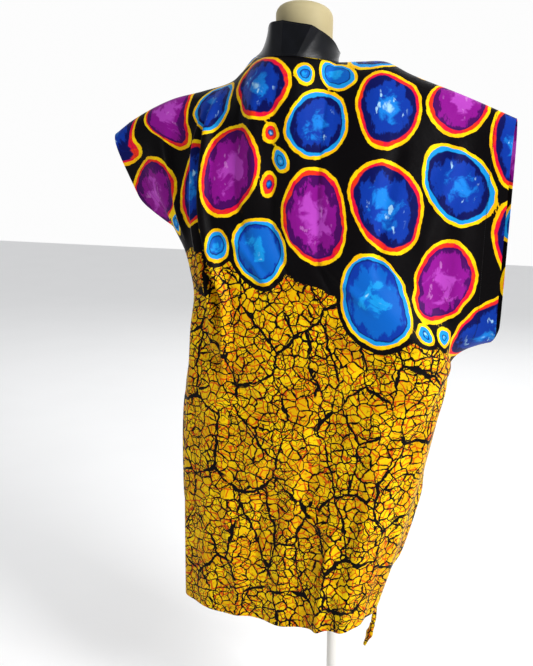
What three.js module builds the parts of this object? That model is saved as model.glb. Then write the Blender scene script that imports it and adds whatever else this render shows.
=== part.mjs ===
// A hip-to-thigh length kimono robe and its shorts, worn by a limbless dress form on a stand.
// Millimetres, +Z up, the front faces -Y, the wearer's right is -X, the floor is z = 0.
// The cloth panels are thin walls. Each panel is a grid of points worked out from cloth
// coordinates: "out" runs sideways from the middle of the cloth, "down" runs from the shoulder ridge.
import * as THREE from "three";

// ---------- driving dimensions ----------
const CLOTH = 2;             // wall that stands for the cotton and its turnings
const SEAM_GAP = 0.3;        // clearance between two sewn pieces, and between cloth and form
const LENGTH = 1050;         // shoulder ridge to hem, along the cloth
const CUFF_DROP = 400;       // depth of the sleeve opening
const UNDERARM = 480;        // down to where the sleeve runs into the side seam
const HALF_CUFF = 430;       // middle of the back to the cuff, along the cloth
const HALF_BODY = 330;       // middle of the back to the side seam, along the cloth
const NECK_HALF = 85;        // middle of the back to where neckline and shoulder ridge meet
const NECK_DEPTH = 64;       // how far the back neckline lies behind the shoulder ridge
const NECK_HEIGHT = 1408;    // back neckline above the floor
const BAND_WIDTH = 65;       // collar band
const FRONT_EDGE = 100;      // middle of the body to the sewn edge of each front
const TIE_LENGTH = 800;      // each front tie
const TIE_WIDTH = 11;
const TIE_THICKNESS = 6;
const FORM_X = -14;          // middle of the form; the robe has slipped to the wearer's left
const FORM_BOTTOM = 745;
const NECK_TOP = 1512;       // back of the form's neck; the front of its cap is lower
const NECK_SLANT = 24;
const WAISTBAND_TOP = 1000;
const WAISTBAND_BOTTOM = 965;
const CROTCH = 660;
const SHORTS_HEM = 560;
const POLE_X = FORM_X - 80;  // the pole runs down inside the right leg of the shorts
const POLE_DIAMETER = 25;
const BASE_DIAMETER = 350;
const BASE_HEIGHT = 14;

const COLOURS = {
  print: 0x16181f,
  crackle: 0xd9a514,
  band: 0x0b0c10,
  form: 0xd8cfae,
  stand: 0xe9e6df,
};

// ---------- small helpers ----------
const clamp = (x, low, high) => Math.min(Math.max(x, low), high);
const mix = (a, b, t) => a + (b - a) * t;

function ease(from, to, x) {
  const t = clamp((x - from) / (to - from), 0, 1);
  return t * t * (3 - 2 * t);
}

// A smooth curve through a table's rows, read at x; key and value name two of its columns.
function read(rows, key, value, x) {
  const at = clamp(x, rows[0][key], rows.at(-1)[key]);
  let i = 0;
  while (i < rows.length - 2 && rows[i + 1][key] < at) i += 1;
  const slope = (k) => (rows[k + 1][value] - rows[k][value]) / (rows[k + 1][key] - rows[k][key]);
  const tangent = (k) => {
    if (k === 0) return slope(0);
    if (k === rows.length - 1) return slope(k - 1);
    return (slope(k - 1) + slope(k)) / 2;
  };
  const [a, b] = [rows[i], rows[i + 1]];
  const h = b[key] - a[key];
  const t = (at - a[key]) / h;
  return (2 * t ** 3 - 3 * t ** 2 + 1) * a[value] + (t ** 3 - 2 * t ** 2 + t) * h * tangent(i)
    + (-2 * t ** 3 + 3 * t ** 2) * b[value] + (t ** 3 - t ** 2) * h * tangent(i + 1);
}

// ---------- the robe's shape ----------
// The shoulder ridge of each side: cloth distance out, then the place in space.
const RIDGE = {
  right: [
    { out: 0, x: 0, z: 1404 },
    { out: 85, x: 85, z: 1400 },
    { out: 130, x: 130, z: 1400 },
    { out: 177, x: 174, z: 1398 },
    { out: 225, x: 219, z: 1376 },
    { out: 330, x: 316, z: 1337 },
    { out: 430, x: 405, z: 1298 },
  ],
  left: [
    { out: 0, x: 0, z: 1425 },
    { out: 85, x: 74, z: 1415 },
    { out: 117, x: 96, z: 1392 },
    { out: 148, x: 119, z: 1373 },
    { out: 212, x: 180, z: 1356 },
    { out: 290, x: 254, z: 1340 },
    { out: 384, x: 340, z: 1302 },
    { out: 430, x: 380, z: 1276 },
  ],
};

// How far the cloth stands out from the ridge once it hangs, on the back and on the front.
const STAND = {
  right: [
    { out: 0, back: 75, front: 140 },
    { out: 100, back: 116, front: 140 },
    { out: 180, back: 116, front: 118 },
    { out: 250, back: 86, front: 74 },
    { out: 330, back: 44, front: 42 },
    { out: 430, back: 32, front: 30 },
  ],
  left: [
    { out: 0, back: 75, front: 140 },
    { out: 100, back: 116, front: 140 },
    { out: 172, back: 118, front: 118 },
    { out: 206, back: 66, front: 90 },
    { out: 330, back: 44, front: 42 },
    { out: 430, back: 32, front: 30 },
  ],
};

// Plan of the hanging tube at five levels of the cloth: its four rounded corners, then the
// height of that level at the right side, the middle and the left side.
const TUBE = [
  { down: 280, brX: -335, brY: 122, blX: 172, blY: 135, flX: 225, flY: -165, frX: -290, frY: -130,
    right: 1000, middle: 1130, left: 1120 },
  { down: 480, brX: -330, brY: 116, blX: 166, blY: 138, flX: 214, flY: -170, frX: -280, frY: -138,
    right: 842, middle: 935, left: 988 },
  { down: 700, brX: -290, brY: 120, blX: 164, blY: 136, flX: 313, flY: -165, frX: -252, frY: -142,
    right: 662, middle: 700, left: 770 },
  { down: 880, brX: -248, brY: 124, blX: 168, blY: 134, flX: 311, flY: -152, frX: -222, frY: -144,
    right: 522, middle: 514, left: 590 },
  { down: 1050, brX: -209, brY: 126, blX: 174, blY: 128, flX: 296, flY: -138, frX: -176, frY: -144,
    right: 408, middle: 337, left: 402 },
];
const CORNER_POWER = 5;                       // roundness of the tube's corners
const SEAM_PLACE = { right: -0.15, left: -0.35 }; // side seam, from 1 at the back to -1 at the front
const TUBE_STARTS = { right: 375, left: 230 };    // where the cloth begins to turn into the tube
const TUBE_FULL = 500;
const HEM_RISE = { right: 1.6, left: 3 };        // how late the level changes towards each side seam

// How each sleeve has swung forward and inward for each length of cloth down, and the share of its
// drop that is left where it has ridden up.
const SWING = {
  left: { from: 200, forward: 0.2, inward: 0.17, tuck: 0.56 },
  right: { from: 260, forward: 0, inward: 0.035, tuck: 1 },
};

// Folds that stand out (+) or sink in (-): place across (-1 right side, 1 left side), half width
// across, height, and the stretch of cloth down which they run.
const BACK_FOLDS = [
  { across: 0.385, width: 0.022, height: 11, from: 20, to: 560 },
  { across: 0.455, width: 0.022, height: 9, from: 40, to: 470 },
  { across: 0.58, width: 0.05, height: 9, from: 420, to: 1300 },
  { across: 0.10, width: 0.07, height: -10, from: 760, to: 1400 },
  { across: -0.42, width: 0.05, height: 9, from: 820, to: 1400 },
  { across: -0.14, width: 0.09, height: -6, from: 520, to: 1300 },
  { across: 0.30, width: 0.08, height: -6, from: 560, to: 1150 },
  { across: -0.60, width: 0.06, height: -7, from: 560, to: 1300 },
  { across: -0.80, width: 0.07, height: 6, from: 120, to: 620 },
  { across: 0.78, width: 0.07, height: 6, from: 60, to: 470 },
];
const FRONT_FOLDS = {
  right: [
    { across: 0.50, width: 0.07, height: 10, from: 60, to: 760 },
    { across: 0.28, width: 0.07, height: -9, from: 300, to: 1300 },
    { across: 0.72, width: 0.08, height: 8, from: 420, to: 1400 },
  ],
  left: [
    { across: 0.44, width: 0.06, height: 12, from: 60, to: 820 },
    { across: 0.24, width: 0.06, height: -10, from: 260, to: 1300 },
    { across: 0.66, width: 0.08, height: 9, from: 380, to: 1400 },
  ],
};

const sideSign = (side) => (side === "left" ? 1 : -1);

// Cloth distance from the middle to the panel's outer edge, which steps in under the arm.
const underSleeve = (down) => clamp((down - CUFF_DROP) / (UNDERARM - CUFF_DROP), 0, 1);
const halfWidth = (down) => mix(HALF_CUFF, HALF_BODY, underSleeve(down));

// 0 at the seam under the sleeve, rising to 1 away from it: closes front and back together there.
function opening(out, down) {
  const along = underSleeve(down);
  const seamOut = mix(HALF_CUFF, HALF_BODY, along);
  const seamDown = mix(CUFF_DROP, UNDERARM, along);
  const away = Math.hypot(Math.max(seamOut - out, 0), Math.max(seamDown - down, 0));
  return 1 - Math.exp(-away / 14);
}

// The cloth near the shoulder. It leaves the ridge level and turns to hang, along a tractrix, whose
// length is the cloth's own.
function shoulderPoint(side, face, out, down) {
  const sign = sideSign(side);
  const facing = face === "front" ? -1 : 1;
  const reach = Math.max(out, NECK_HALF);
  const ridge = { x: read(RIDGE[side], "out", "x", reach), z: read(RIDGE[side], "out", "z", reach) };
  let startY = facing * SEAM_GAP / 2;
  let stand = read(STAND[side], "out", face, out);
  if (face === "back" && out < NECK_HALF) {
    const a = out / NECK_HALF;
    ridge.x *= a;
    ridge.z = mix(NECK_HEIGHT, ridge.z, a * a);
    startY = mix(NECK_DEPTH, startY, a * a);
    stand = Math.max(stand - startY * 0.5, 30);
  }
  const q = Math.exp(-down / stand);
  const turn = Math.sqrt(Math.max(1 - q * q, 0));
  let drop = down / stand > 6 ? down - stand * (1 - Math.LN2) : stand * (Math.atanh(turn) - turn);
  let y = startY + facing * stand * (1 - q) * opening(out, down);
  let x = ridge.x;
  const swing = SWING[side];
  const share = ease(swing.from, HALF_CUFF, out);
  drop *= mix(1, swing.tuck, share);
  y -= swing.forward * share * down;
  x -= swing.inward * share * down;
  return new THREE.Vector3(sign * x, y, ridge.z - drop);
}

// Plan curve of the tube at one level, from the middle of the back round one side to the front.
const CURVE_STEPS = 160;
const curves = new Map();
function tubeCurve(side, down) {
  const name = `${side}${down}`;
  if (curves.has(name)) return curves.get(name);
  const level = {};
  for (const key of Object.keys(TUBE[0])) level[key] = read(TUBE, "down", key, down);
  const points = [];
  for (let i = 0; i <= CURVE_STEPS; i += 1) {
    const angle = Math.PI * i / CURVE_STEPS;
    const p = sideSign(side) * Math.abs(Math.sin(angle)) ** (2 / CORNER_POWER);
    const c = Math.cos(angle);
    const q = Math.sign(c) * Math.abs(c) ** (2 / CORNER_POWER);
    const share = { br: (1 - p) * (1 + q), bl: (1 + p) * (1 + q), fl: (1 + p) * (1 - q), fr: (1 - p) * (1 - q) };
    let [x, y] = [0, 0];
    for (const [corner, weight] of Object.entries(share)) {
      x += weight * level[`${corner}X`] / 4;
      y += weight * level[`${corner}Y`] / 4;
    }
    points.push({ x, y, q, length: 0 });
  }
  for (let i = 1; i < points.length; i += 1) {
    const [a, b] = [points[i - 1], points[i]];
    b.length = a.length + Math.hypot(b.x - a.x, b.y - a.y);
  }
  const seam = points.find((point) => point.q <= SEAM_PLACE[side]).length;
  const sign = sideSign(side);
  const front = points.findLast((point) => sign * point.x > FRONT_EDGE).length;
  const curve = { points, seam, front, level };
  curves.set(name, curve);
  return curve;
}

// A point of the tube: turn 0 is the middle of the back, 1 the side seam, 2 the front's sewn edge.
function tubePoint(side, turn, down) {
  const { points, seam, front, level } = tubeCurve(side, down);
  const length = turn <= 1 ? seam * turn : mix(seam, front, turn - 1);
  let i = 1;
  while (i < points.length - 1 && points[i].length < length) i += 1;
  const [a, b] = [points[i - 1], points[i]];
  const t = (length - a.length) / Math.max(b.length - a.length, 1e-6);
  const sideways = turn <= 1 ? turn ** HEM_RISE[side] : 1 - 0.75 * (turn - 1);
  return new THREE.Vector3(mix(a.x, b.x, t), mix(a.y, b.y, t), mix(level.middle, level[side], sideways));
}

function foldHeight(folds, across, down) {
  let height = 0;
  for (const fold of folds) {
    const spread = Math.exp(-(((across - fold.across) / fold.width) ** 2));
    const run = ease(fold.from, fold.from + 110, down) * (1 - ease(fold.to - 150, fold.to, down));
    height += fold.height * spread * run;
  }
  return height;
}

function panelPoint(side, face, out, turn, down) {
  const upper = shoulderPoint(side, face, out, down);
  const blend = ease(TUBE_STARTS[side], TUBE_FULL, down);
  return blend === 0 ? upper : upper.lerp(tubePoint(side, turn, down), blend);
}

// The back: across runs from -1 at the right edge to 1 at the left edge.
function backPoint(across, down) {
  const side = across < 0 ? "right" : "left";
  const share = Math.min(Math.abs(across), 1);
  return panelPoint(side, "back", share * halfWidth(down), share, down);
}

// A front: across runs from 0 at the outer edge to 1 at the sewn inner edge.
function frontPoint(side, across, down) {
  const neck = mix(NECK_HALF, FRONT_EDGE, ease(0, 150, down));
  return panelPoint(side, "front", mix(halfWidth(down), neck, across), 1 + across, down);
}

// ---------- turning a grid of points into a wall ----------
function gridNormals(grid) {
  const [rows, columns] = [grid.length, grid[0].length];
  return grid.map((row, j) => row.map((_, i) => {
    const along = new THREE.Vector3().subVectors(
      grid[j][Math.min(i + 1, columns - 1)], grid[j][Math.max(i - 1, 0)]);
    const down = new THREE.Vector3().subVectors(
      grid[Math.min(j + 1, rows - 1)][i], grid[Math.max(j - 1, 0)][i]);
    return new THREE.Vector3().crossVectors(down, along).normalize();
  }));
}

// A closed wall: the grid is its outer side, and the inner side lies CLOTH behind it.
function wall(grid, normals, thickness = CLOTH) {
  const [rows, columns] = [grid.length, grid[0].length];
  const positions = [];
  for (const row of grid) for (const p of row) positions.push(p.x, p.y, p.z);
  grid.forEach((row, j) => row.forEach((p, i) => {
    const inner = p.clone().addScaledVector(normals[j][i], -thickness);
    positions.push(inner.x, inner.y, inner.z);
  }));
  const at = (j, i, layer) => layer * rows * columns + j * columns + i;
  const index = [];
  const quad = (a, b, c, d) => index.push(a, b, c, a, c, d);
  for (let j = 0; j < rows - 1; j += 1) {
    for (let i = 0; i < columns - 1; i += 1) {
      quad(at(j, i, 0), at(j + 1, i, 0), at(j + 1, i + 1, 0), at(j, i + 1, 0));
      quad(at(j, i, 1), at(j, i + 1, 1), at(j + 1, i + 1, 1), at(j + 1, i, 1));
    }
    quad(at(j, 0, 0), at(j, 0, 1), at(j + 1, 0, 1), at(j + 1, 0, 0));
    const end = columns - 1;
    quad(at(j, end, 1), at(j, end, 0), at(j + 1, end, 0), at(j + 1, end, 1));
  }
  for (let i = 0; i < columns - 1; i += 1) {
    quad(at(0, i, 1), at(0, i, 0), at(0, i + 1, 0), at(0, i + 1, 1));
    const end = rows - 1;
    quad(at(end, i, 0), at(end, i, 1), at(end, i + 1, 1), at(end, i + 1, 0));
  }
  const geometry = new THREE.BufferGeometry();
  geometry.setAttribute("position", new THREE.Float32BufferAttribute(positions, 3));
  geometry.setIndex(index);
  return geometry;
}

function addFolds(grid, normals, folds, across, rows) {
  grid.forEach((row, j) => row.forEach((p, i) => {
    p.addScaledVector(normals[j][i], foldHeight(folds, across[i], rows[j]));
  }));
}

// Rows of the grid, closer at the ridge and under the arm.
const ROWS = [0, 5, 15, 32, 60, 95, 135, 180, 225, 270, 310, 345, 375, CUFF_DROP, 425, 450,
  UNDERARM, 515, 570, 640, 720, 800, 885, 970, LENGTH];

function steps(from, to, count) {
  return Array.from({ length: count + 1 }, (_, i) => mix(from, to, i / count));
}

const NECK_SHARE = NECK_HALF / HALF_CUFF;
const NECK_STEPS = 4;
const BACK_ACROSS = [
  ...steps(-1, -0.94, 2), ...steps(-0.87, -0.27, 8), ...steps(-NECK_SHARE, NECK_SHARE, 2 * NECK_STEPS),
  ...steps(0.26, 0.50, 9), ...steps(0.56, 0.86, 4), ...steps(0.94, 1, 2),
];
const FRONT_ACROSS = [0, 0.04, 0.1, ...steps(0.18, 1, 11)];

function backGrid() {
  const inset = 0.8 * SEAM_GAP / HALF_BODY;
  const edge = (across) => clamp(across, inset - 1, 1 - inset);
  return ROWS.map((down) => BACK_ACROSS.map((across) => backPoint(edge(across), down)).reverse());
}

function frontGrid(side) {
  const grid = ROWS.map((down) => FRONT_ACROSS.map((across) => {
    const start = 0.8 * SEAM_GAP / (HALF_BODY - FRONT_EDGE);
    return frontPoint(side, Math.max(across, start), down);
  }));
  return side === "right" ? grid : grid.map((row) => row.slice().reverse());
}

// Sewn edges share one normal, so that their walls meet edge to edge and never cross.
function meet(normalsA, columnA, normalsB, columnB) {
  ROWS.forEach((down, j) => {
    if (down < CUFF_DROP) return;
    const shared = new THREE.Vector3().addVectors(normalsA[j][columnA], normalsB[j][columnB]).normalize();
    normalsA[j][columnA].copy(shared);
    normalsB[j][columnB].copy(shared);
  });
}

function levelRidge(normals) {
  for (const normal of normals[0]) normal.setY(0).normalize();
}

function reversed(list) {
  return list.slice().reverse();
}

const back = backGrid();
const frontLeft = frontGrid("left");
const frontRight = frontGrid("right");
const backNormals = gridNormals(back);
const leftNormals = gridNormals(frontLeft);
const rightNormals = gridNormals(frontRight);
addFolds(back, backNormals, BACK_FOLDS, reversed(BACK_ACROSS), ROWS);
addFolds(frontLeft, leftNormals, FRONT_FOLDS.left, reversed(FRONT_ACROSS), ROWS);
addFolds(frontRight, rightNormals, FRONT_FOLDS.right, FRONT_ACROSS, ROWS);
[backNormals, leftNormals, rightNormals].forEach(levelRidge);
meet(backNormals, 0, leftNormals, FRONT_ACROSS.length - 1);
meet(backNormals, BACK_ACROSS.length - 1, rightNormals, 0);

// ---------- collar band ----------
// The standing band's free edge, at stations from the middle of the back to the shoulder ridge.
// The right side has a crease at its second station.
const BAND_TOP = {
  left: [
    { place: 0, freeX: 0, freeY: 56, freeZ: 1470 },
    { place: 1, freeX: 27, freeY: 46, freeZ: 1468 },
    { place: 2, freeX: 47, freeY: 6, freeZ: 1459 },
    { place: 3, freeX: 56, freeY: -38, freeZ: 1446 },
  ],
  right: [
    { place: 0, freeX: 0, freeY: 56, freeZ: 1470 },
    { place: 1, freeX: 50, freeY: 42, freeZ: 1459 },
    { place: 2, freeX: 76, freeY: 8, freeZ: 1440 },
    { place: 3, freeX: 77, freeY: -42, freeZ: 1420 },
  ],
};

const BAND_TURN = 70;        // cloth over which the standing band turns to lie along the front

function bandGrid(side) {
  const sign = sideSign(side);
  const grid = [];
  const across = steps(0, 1, 3);
  const first = new THREE.Vector3();
  for (const share of steps(0, 1, NECK_STEPS)) {
    const at = (key) => read(BAND_TOP[side], "place", key, 3 * share);
    const sewn = shoulderPoint(side, "back", NECK_HALF * share, 0);
    if (share === 0) sewn.x += sign * SEAM_GAP / 2;
    if (share === 1) sewn.y = -SEAM_GAP / 2;
    sewn.z += 1.6 * SEAM_GAP;
    const free = new THREE.Vector3(sign * Math.max(at("freeX"), SEAM_GAP / 2), at("freeY"), at("freeZ"));
    first.subVectors(free, sewn).normalize();
    grid.push(across.map((t) => sewn.clone().lerp(free, t)));
  }
  for (const down of ROWS.slice(1)) {
    const edge = frontPoint(side, 1, down);
    const inner = frontPoint(side, 0.88, down);
    const flat = new THREE.Vector3().subVectors(edge, inner).setZ(0).normalize();
    flat.lerp(new THREE.Vector3(-sign, -0.1, 0), 0.4).normalize();
    flat.lerp(first, Math.exp(-down / BAND_TURN)).normalize();
    const sewn = edge.clone().addScaledVector(flat, SEAM_GAP * (1.3 + 1.2 * Math.exp(-down / 30)));
    grid.push(across.map((t) => sewn.clone().addScaledVector(flat, BAND_WIDTH * t)));
  }
  return side === "right" ? grid : grid.map(reversed);
}

function band(side) {
  const grid = bandGrid(side);
  const normals = gridNormals(grid);
  for (const normal of normals[0]) normal.setX(0).normalize();
  const sewn = side === "right" ? 0 : grid[0].length - 1;
  const panel = side === "right" ? rightNormals : leftNormals;
  const edge = side === "right" ? FRONT_ACROSS.length - 1 : 0;
  ROWS.forEach((down, j) => {
    const shared = new THREE.Vector3().addVectors(normals[NECK_STEPS + j][sewn], panel[j][edge]);
    if (down === 0) shared.setY(0);
    shared.normalize();
    normals[NECK_STEPS + j][sewn].copy(shared);
    panel[j][edge].copy(shared);
  });
  return wall(grid, normals);
}

// ---------- dress form ----------
const FORM = [
  { z: 745, half: 140, front: -80, back: 82 },
  { z: 765, half: 152, front: -90, back: 92 },
  { z: 800, half: 159, front: -94, back: 97 },
  { z: 850, half: 161, front: -94, back: 99 },
  { z: 920, half: 148, front: -90, back: 89 },
  { z: 985, half: 130, front: -84, back: 74 },
  { z: 1040, half: 124, front: -82, back: 69 },
  { z: 1100, half: 131, front: -90, back: 77 },
  { z: 1180, half: 149, front: -106, back: 88 },
  { z: 1230, half: 161, front: -101, back: 86 },
  { z: 1275, half: 173, front: -90, back: 74 },
  { z: 1312, half: 180, front: -73, back: 57 },
  { z: 1336, half: 176, front: -54, back: 42 },
  { z: 1350, half: 177, front: -34, back: 30 },
  { z: 1360, half: 158, front: -24, back: 24 },
  { z: 1370, half: 131, front: -20, back: 20 },
  { z: 1382, half: 83, front: -42, back: 36 },
  { z: 1396, half: 68, front: -54, back: 36 },
  { z: 1412, half: 57, front: -64, back: 38 },
  { z: 1440, half: 53, front: -71, back: 34 },
  { z: 1490, half: 53, front: -72, back: 33 },
];

// A point of the form at a height and an angle: 0 is its left side, a quarter turn on is its back.
function formPoint(z, angle, offset = 0) {
  const half = read(FORM, "z", "half", z);
  const front = read(FORM, "z", "front", z);
  const behind = read(FORM, "z", "back", z);
  const depth = (behind - front) / 2;
  const [c, s] = [Math.cos(angle), Math.sin(angle)];
  const normal = new THREE.Vector3(c / half, s / depth, 0).normalize();
  return new THREE.Vector3(FORM_X + half * c, (behind + front) / 2 + depth * s, z)
    .addScaledVector(normal, offset);
}

// A closed body from rings of equal count, capped by its first and last ring.
function stack(rings) {
  const count = rings[0].length;
  const positions = rings.flat().flatMap((p) => [p.x, p.y, p.z]);
  const index = [];
  const at = (ring, i) => ring * count + (i % count);
  for (let ring = 0; ring < rings.length - 1; ring += 1) {
    for (let i = 0; i < count; i += 1) {
      index.push(at(ring, i), at(ring, i + 1), at(ring + 1, i + 1));
      index.push(at(ring, i), at(ring + 1, i + 1), at(ring + 1, i));
    }
  }
  [[0, -1], [rings.length - 1, 1]].forEach(([ring, facing]) => {
    const centre = rings[ring].reduce((sum, p) => sum.add(p), new THREE.Vector3()).divideScalar(count);
    const middle = positions.length / 3;
    positions.push(centre.x, centre.y, centre.z);
    for (let i = 0; i < count; i += 1) {
      if (facing > 0) index.push(middle, at(ring, i), at(ring, i + 1));
      else index.push(middle, at(ring, i + 1), at(ring, i));
    }
  });
  const geometry = new THREE.BufferGeometry();
  geometry.setAttribute("position", new THREE.Float32BufferAttribute(positions, 3));
  geometry.setIndex(index);
  return geometry;
}

const FORM_SIDES = 32;
const ring = (count, point) => Array.from({ length: count }, (_, i) => point(2 * Math.PI * i / count));

function formBody() {
  const heights = [FORM_BOTTOM, 752, 765, 800, 850, 905, WAISTBAND_BOTTOM, WAISTBAND_TOP, 1050, 1110, 1170, 1225, 1275,
    1305, 1325, 1340, 1350, 1360, 1369, 1380, 1392, 1404, 1420, 1450];
  const rings = heights.map((z) => ring(FORM_SIDES, (angle) => formPoint(z, angle)));
  // The cap is a slanted, rounded end: inset and height under the slanted top.
  const cap = [
    { inset: 0, below: 20 }, { inset: 2, below: 11 }, { inset: 8, below: 4 }, { inset: 18, below: 0 },
  ];
  for (const { inset, below } of cap) {
    rings.push(ring(FORM_SIDES, (angle) => {
      const p = formPoint(1480, angle, -inset);
      const slant = NECK_SLANT * (34 - p.y) / 108;
      return p.setZ(NECK_TOP - slant - below);
    }));
  }
  return stack(rings);
}

// ---------- shorts ----------
// Each leg is one sheet: its front and back centre seams down to the crotch, then its inseam.
const LEG = [
  { z: 560, outer: 188, centre: 96, front: -104, back: 108 },
  { z: 610, outer: 183, centre: 94, front: -103, back: 108 },
  { z: 660, outer: 178, centre: 89, front: -102, back: 108 },
  { z: 690, outer: 176, centre: 78, front: -102, back: 108 },
  { z: 730, outer: 174, centre: 56, front: -102, back: 108 },
  { z: 770, outer: 172, centre: 25, front: -102, back: 107 },
  { z: 800, outer: 171, centre: 0, front: -102, back: 107 },
  { z: 870, outer: 168, centre: 0, front: -100, back: 106 },
  { z: 920, outer: 158, centre: 0, front: -97, back: 98 },
  { z: 965, outer: 143, centre: 0, front: -92, back: 86 },
];
const LEG_ROWS = [WAISTBAND_BOTTOM - SEAM_GAP, 940, 905, 865, 825, 798, 770, 735, 700, 678, CROTCH, 630, 595,
  SHORTS_HEM];
const LEG_STEPS = 22;
const LEG_RIPPLE = 3.5;      // soft folds of the loose leg

function legGrid(side) {
  const sign = sideSign(side);
  const grid = LEG_ROWS.map((z) => {
    const at = (key) => read(LEG, "z", key, z);
    const centre = at("centre");
    const across = at("outer") - centre;
    const depth = (at("back") - at("front")) / 2;
    const middle = (at("back") + at("front")) / 2;
    const seam = Math.acos(clamp((SEAM_GAP / 2 - centre) / across, -1, 1));
    const last = Math.min(seam, Math.PI - SEAM_GAP / 2 / depth);
    const loose = ease(940, 800, z);
    return steps(-last, last, LEG_STEPS).map((angle) => {
      const ripple = LEG_RIPPLE * loose * Math.sin(7 * angle + sign) * (1 - Math.abs(angle / last) ** 6);
      return new THREE.Vector3(
        FORM_X + sign * Math.max(centre + (across + ripple) * Math.cos(angle), SEAM_GAP / 2),
        middle + (depth + ripple) * Math.sin(angle), z);
    });
  });
  return side === "left" ? grid : grid.map(reversed);
}

// Down to the crotch the leg meets the other leg, and below it its own inseam.
function leg(side) {
  const grid = legGrid(side);
  const normals = gridNormals(grid);
  normals.forEach((row, j) => {
    for (const normal of [row[0], row.at(-1)]) {
      if (LEG_ROWS[j] > CROTCH) normal.setX(0).normalize();
      else normal.set(-sideSign(side), 0, 0);
    }
  });
  return wall(grid, normals);
}

function waistband() {
  const sides = FORM_SIDES;
  const rows = [WAISTBAND_BOTTOM, WAISTBAND_TOP];
  const outer = rows.map((z) => ring(sides, (angle) => formPoint(z, angle, SEAM_GAP + 3 * CLOTH)));
  const inner = rows.map((z) => ring(sides, (angle) => formPoint(z, angle, SEAM_GAP)));
  const rings = [...outer, ...reversed(inner)];
  const positions = rings.flat().flatMap((p) => [p.x, p.y, p.z]);
  const index = [];
  rings.forEach((_, r) => {
    const next = (r + 1) % rings.length;
    for (let i = 0; i < sides; i += 1) {
      const j = (i + 1) % sides;
      const [a, b, c, d] = [r * sides + i, r * sides + j, next * sides + j, next * sides + i];
      index.push(a, b, c, a, c, d);
    }
  });
  const geometry = new THREE.BufferGeometry();
  geometry.setAttribute("position", new THREE.Float32BufferAttribute(positions, 3));
  geometry.setIndex(index);
  return geometry;
}

// ---------- ties ----------
// Each tie is sewn where its front meets the band, and hangs down over the front: cloth distance
// down, place across the front, and how far it stands off the cloth.
const TIE_PATH = {
  right: [
    { down: 455, across: 0.97, off: 0.4 },
    { down: 480, across: 0.965, off: 3 },
    { down: 540, across: 0.95, off: 8 },
    { down: 700, across: 0.91, off: 14 },
    { down: 880, across: 0.87, off: 18 },
    { down: 1050, across: 0.84, off: 24 },
    { down: 1120, across: 0.83, off: 26 },
    { down: 1175, across: 0.82, off: 28 },
    { down: 1212, across: 0.86, off: 31 },
    { down: 1262, across: 0.96, off: 31 },
  ],
  left: [
    { down: 425, across: 0.97, off: 0.4 },
    { down: 450, across: 0.965, off: 3 },
    { down: 520, across: 0.95, off: 8 },
    { down: 690, across: 0.93, off: 14 },
    { down: 880, across: 0.90, off: 20 },
    { down: 1050, across: 0.89, off: 22 },
    { down: 1250, across: 0.89, off: 22 },
  ],
};
const TIE_TWIST = 2.2;       // turns over the length
const TIE_STEPS = 30;

function tiePoint(side, down) {
  const at = (key) => read(TIE_PATH[side], "down", key, down);
  const reach = Math.min(down, LENGTH);
  const across = at("across");
  const p = frontPoint(side, across, reach);
  const lower = frontPoint(side, across, reach - 8);
  const beside = frontPoint(side, across - 0.03, reach);
  const normal = new THREE.Vector3().crossVectors(
    new THREE.Vector3().subVectors(p, lower), new THREE.Vector3().subVectors(beside, p)).normalize();
  if (normal.y > 0) normal.negate();
  p.addScaledVector(normal, foldHeight(FRONT_FOLDS[side], across, reach) + at("off") + TIE_THICKNESS / 2);
  p.z -= down - reach;
  return p;
}

function tie(side) {
  const rows = TIE_PATH[side];
  const samples = steps(rows[0].down, rows.at(-1).down, 120).map((down) => tiePoint(side, down));
  const curve = new THREE.CatmullRomCurve3(samples);
  const points = [];
  let walked = 0;
  const spaced = curve.getSpacedPoints(240);
  for (let i = 0; i < spaced.length; i += 1) {
    if (i > 0) walked += spaced[i].distanceTo(spaced[i - 1]);
    if (walked > TIE_LENGTH) break;
    points.push(spaced[i]);
  }
  const rings = steps(0, 1, TIE_STEPS).map((t) => {
    const k = Math.round(t * (points.length - 1));
    const tangent = new THREE.Vector3().subVectors(
      points[Math.min(k + 1, points.length - 1)], points[Math.max(k - 1, 0)]).normalize();
    const wide = new THREE.Vector3(1, 0, 0).addScaledVector(tangent, -tangent.x).normalize();
    const thick = new THREE.Vector3().crossVectors(tangent, wide);
    const turn = 2 * Math.PI * TIE_TWIST * t;
    const knot = 1 + 0.9 * Math.exp(-(((t - 0.965) / 0.014) ** 2));
    return ring(8, (angle) => {
      const u = Math.cos(angle) * TIE_WIDTH / 2 * knot;
      const v = Math.sin(angle) * TIE_THICKNESS / 2 * knot;
      const [c, s] = [Math.cos(turn), Math.sin(turn)];
      return points[k].clone().addScaledVector(wide, u * c - v * s).addScaledVector(thick, u * s + v * c);
    });
  });
  return stack(rings);
}

// ---------- assembly ----------
const group = new THREE.Group();
function add(name, geometry, colour, roughness = 0.8) {
  const mesh = new THREE.Mesh(geometry, new THREE.MeshStandardMaterial({ color: colour, roughness }));
  mesh.name = name;
  group.add(mesh);
  return mesh;
}

function cylinder(diameter, bottom, top, sides, x = 0) {
  const geometry = new THREE.CylinderGeometry(diameter / 2, diameter / 2, top - bottom, sides);
  geometry.rotateX(Math.PI / 2);
  geometry.translate(x, 0, (top + bottom) / 2);
  return geometry;
}

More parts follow.
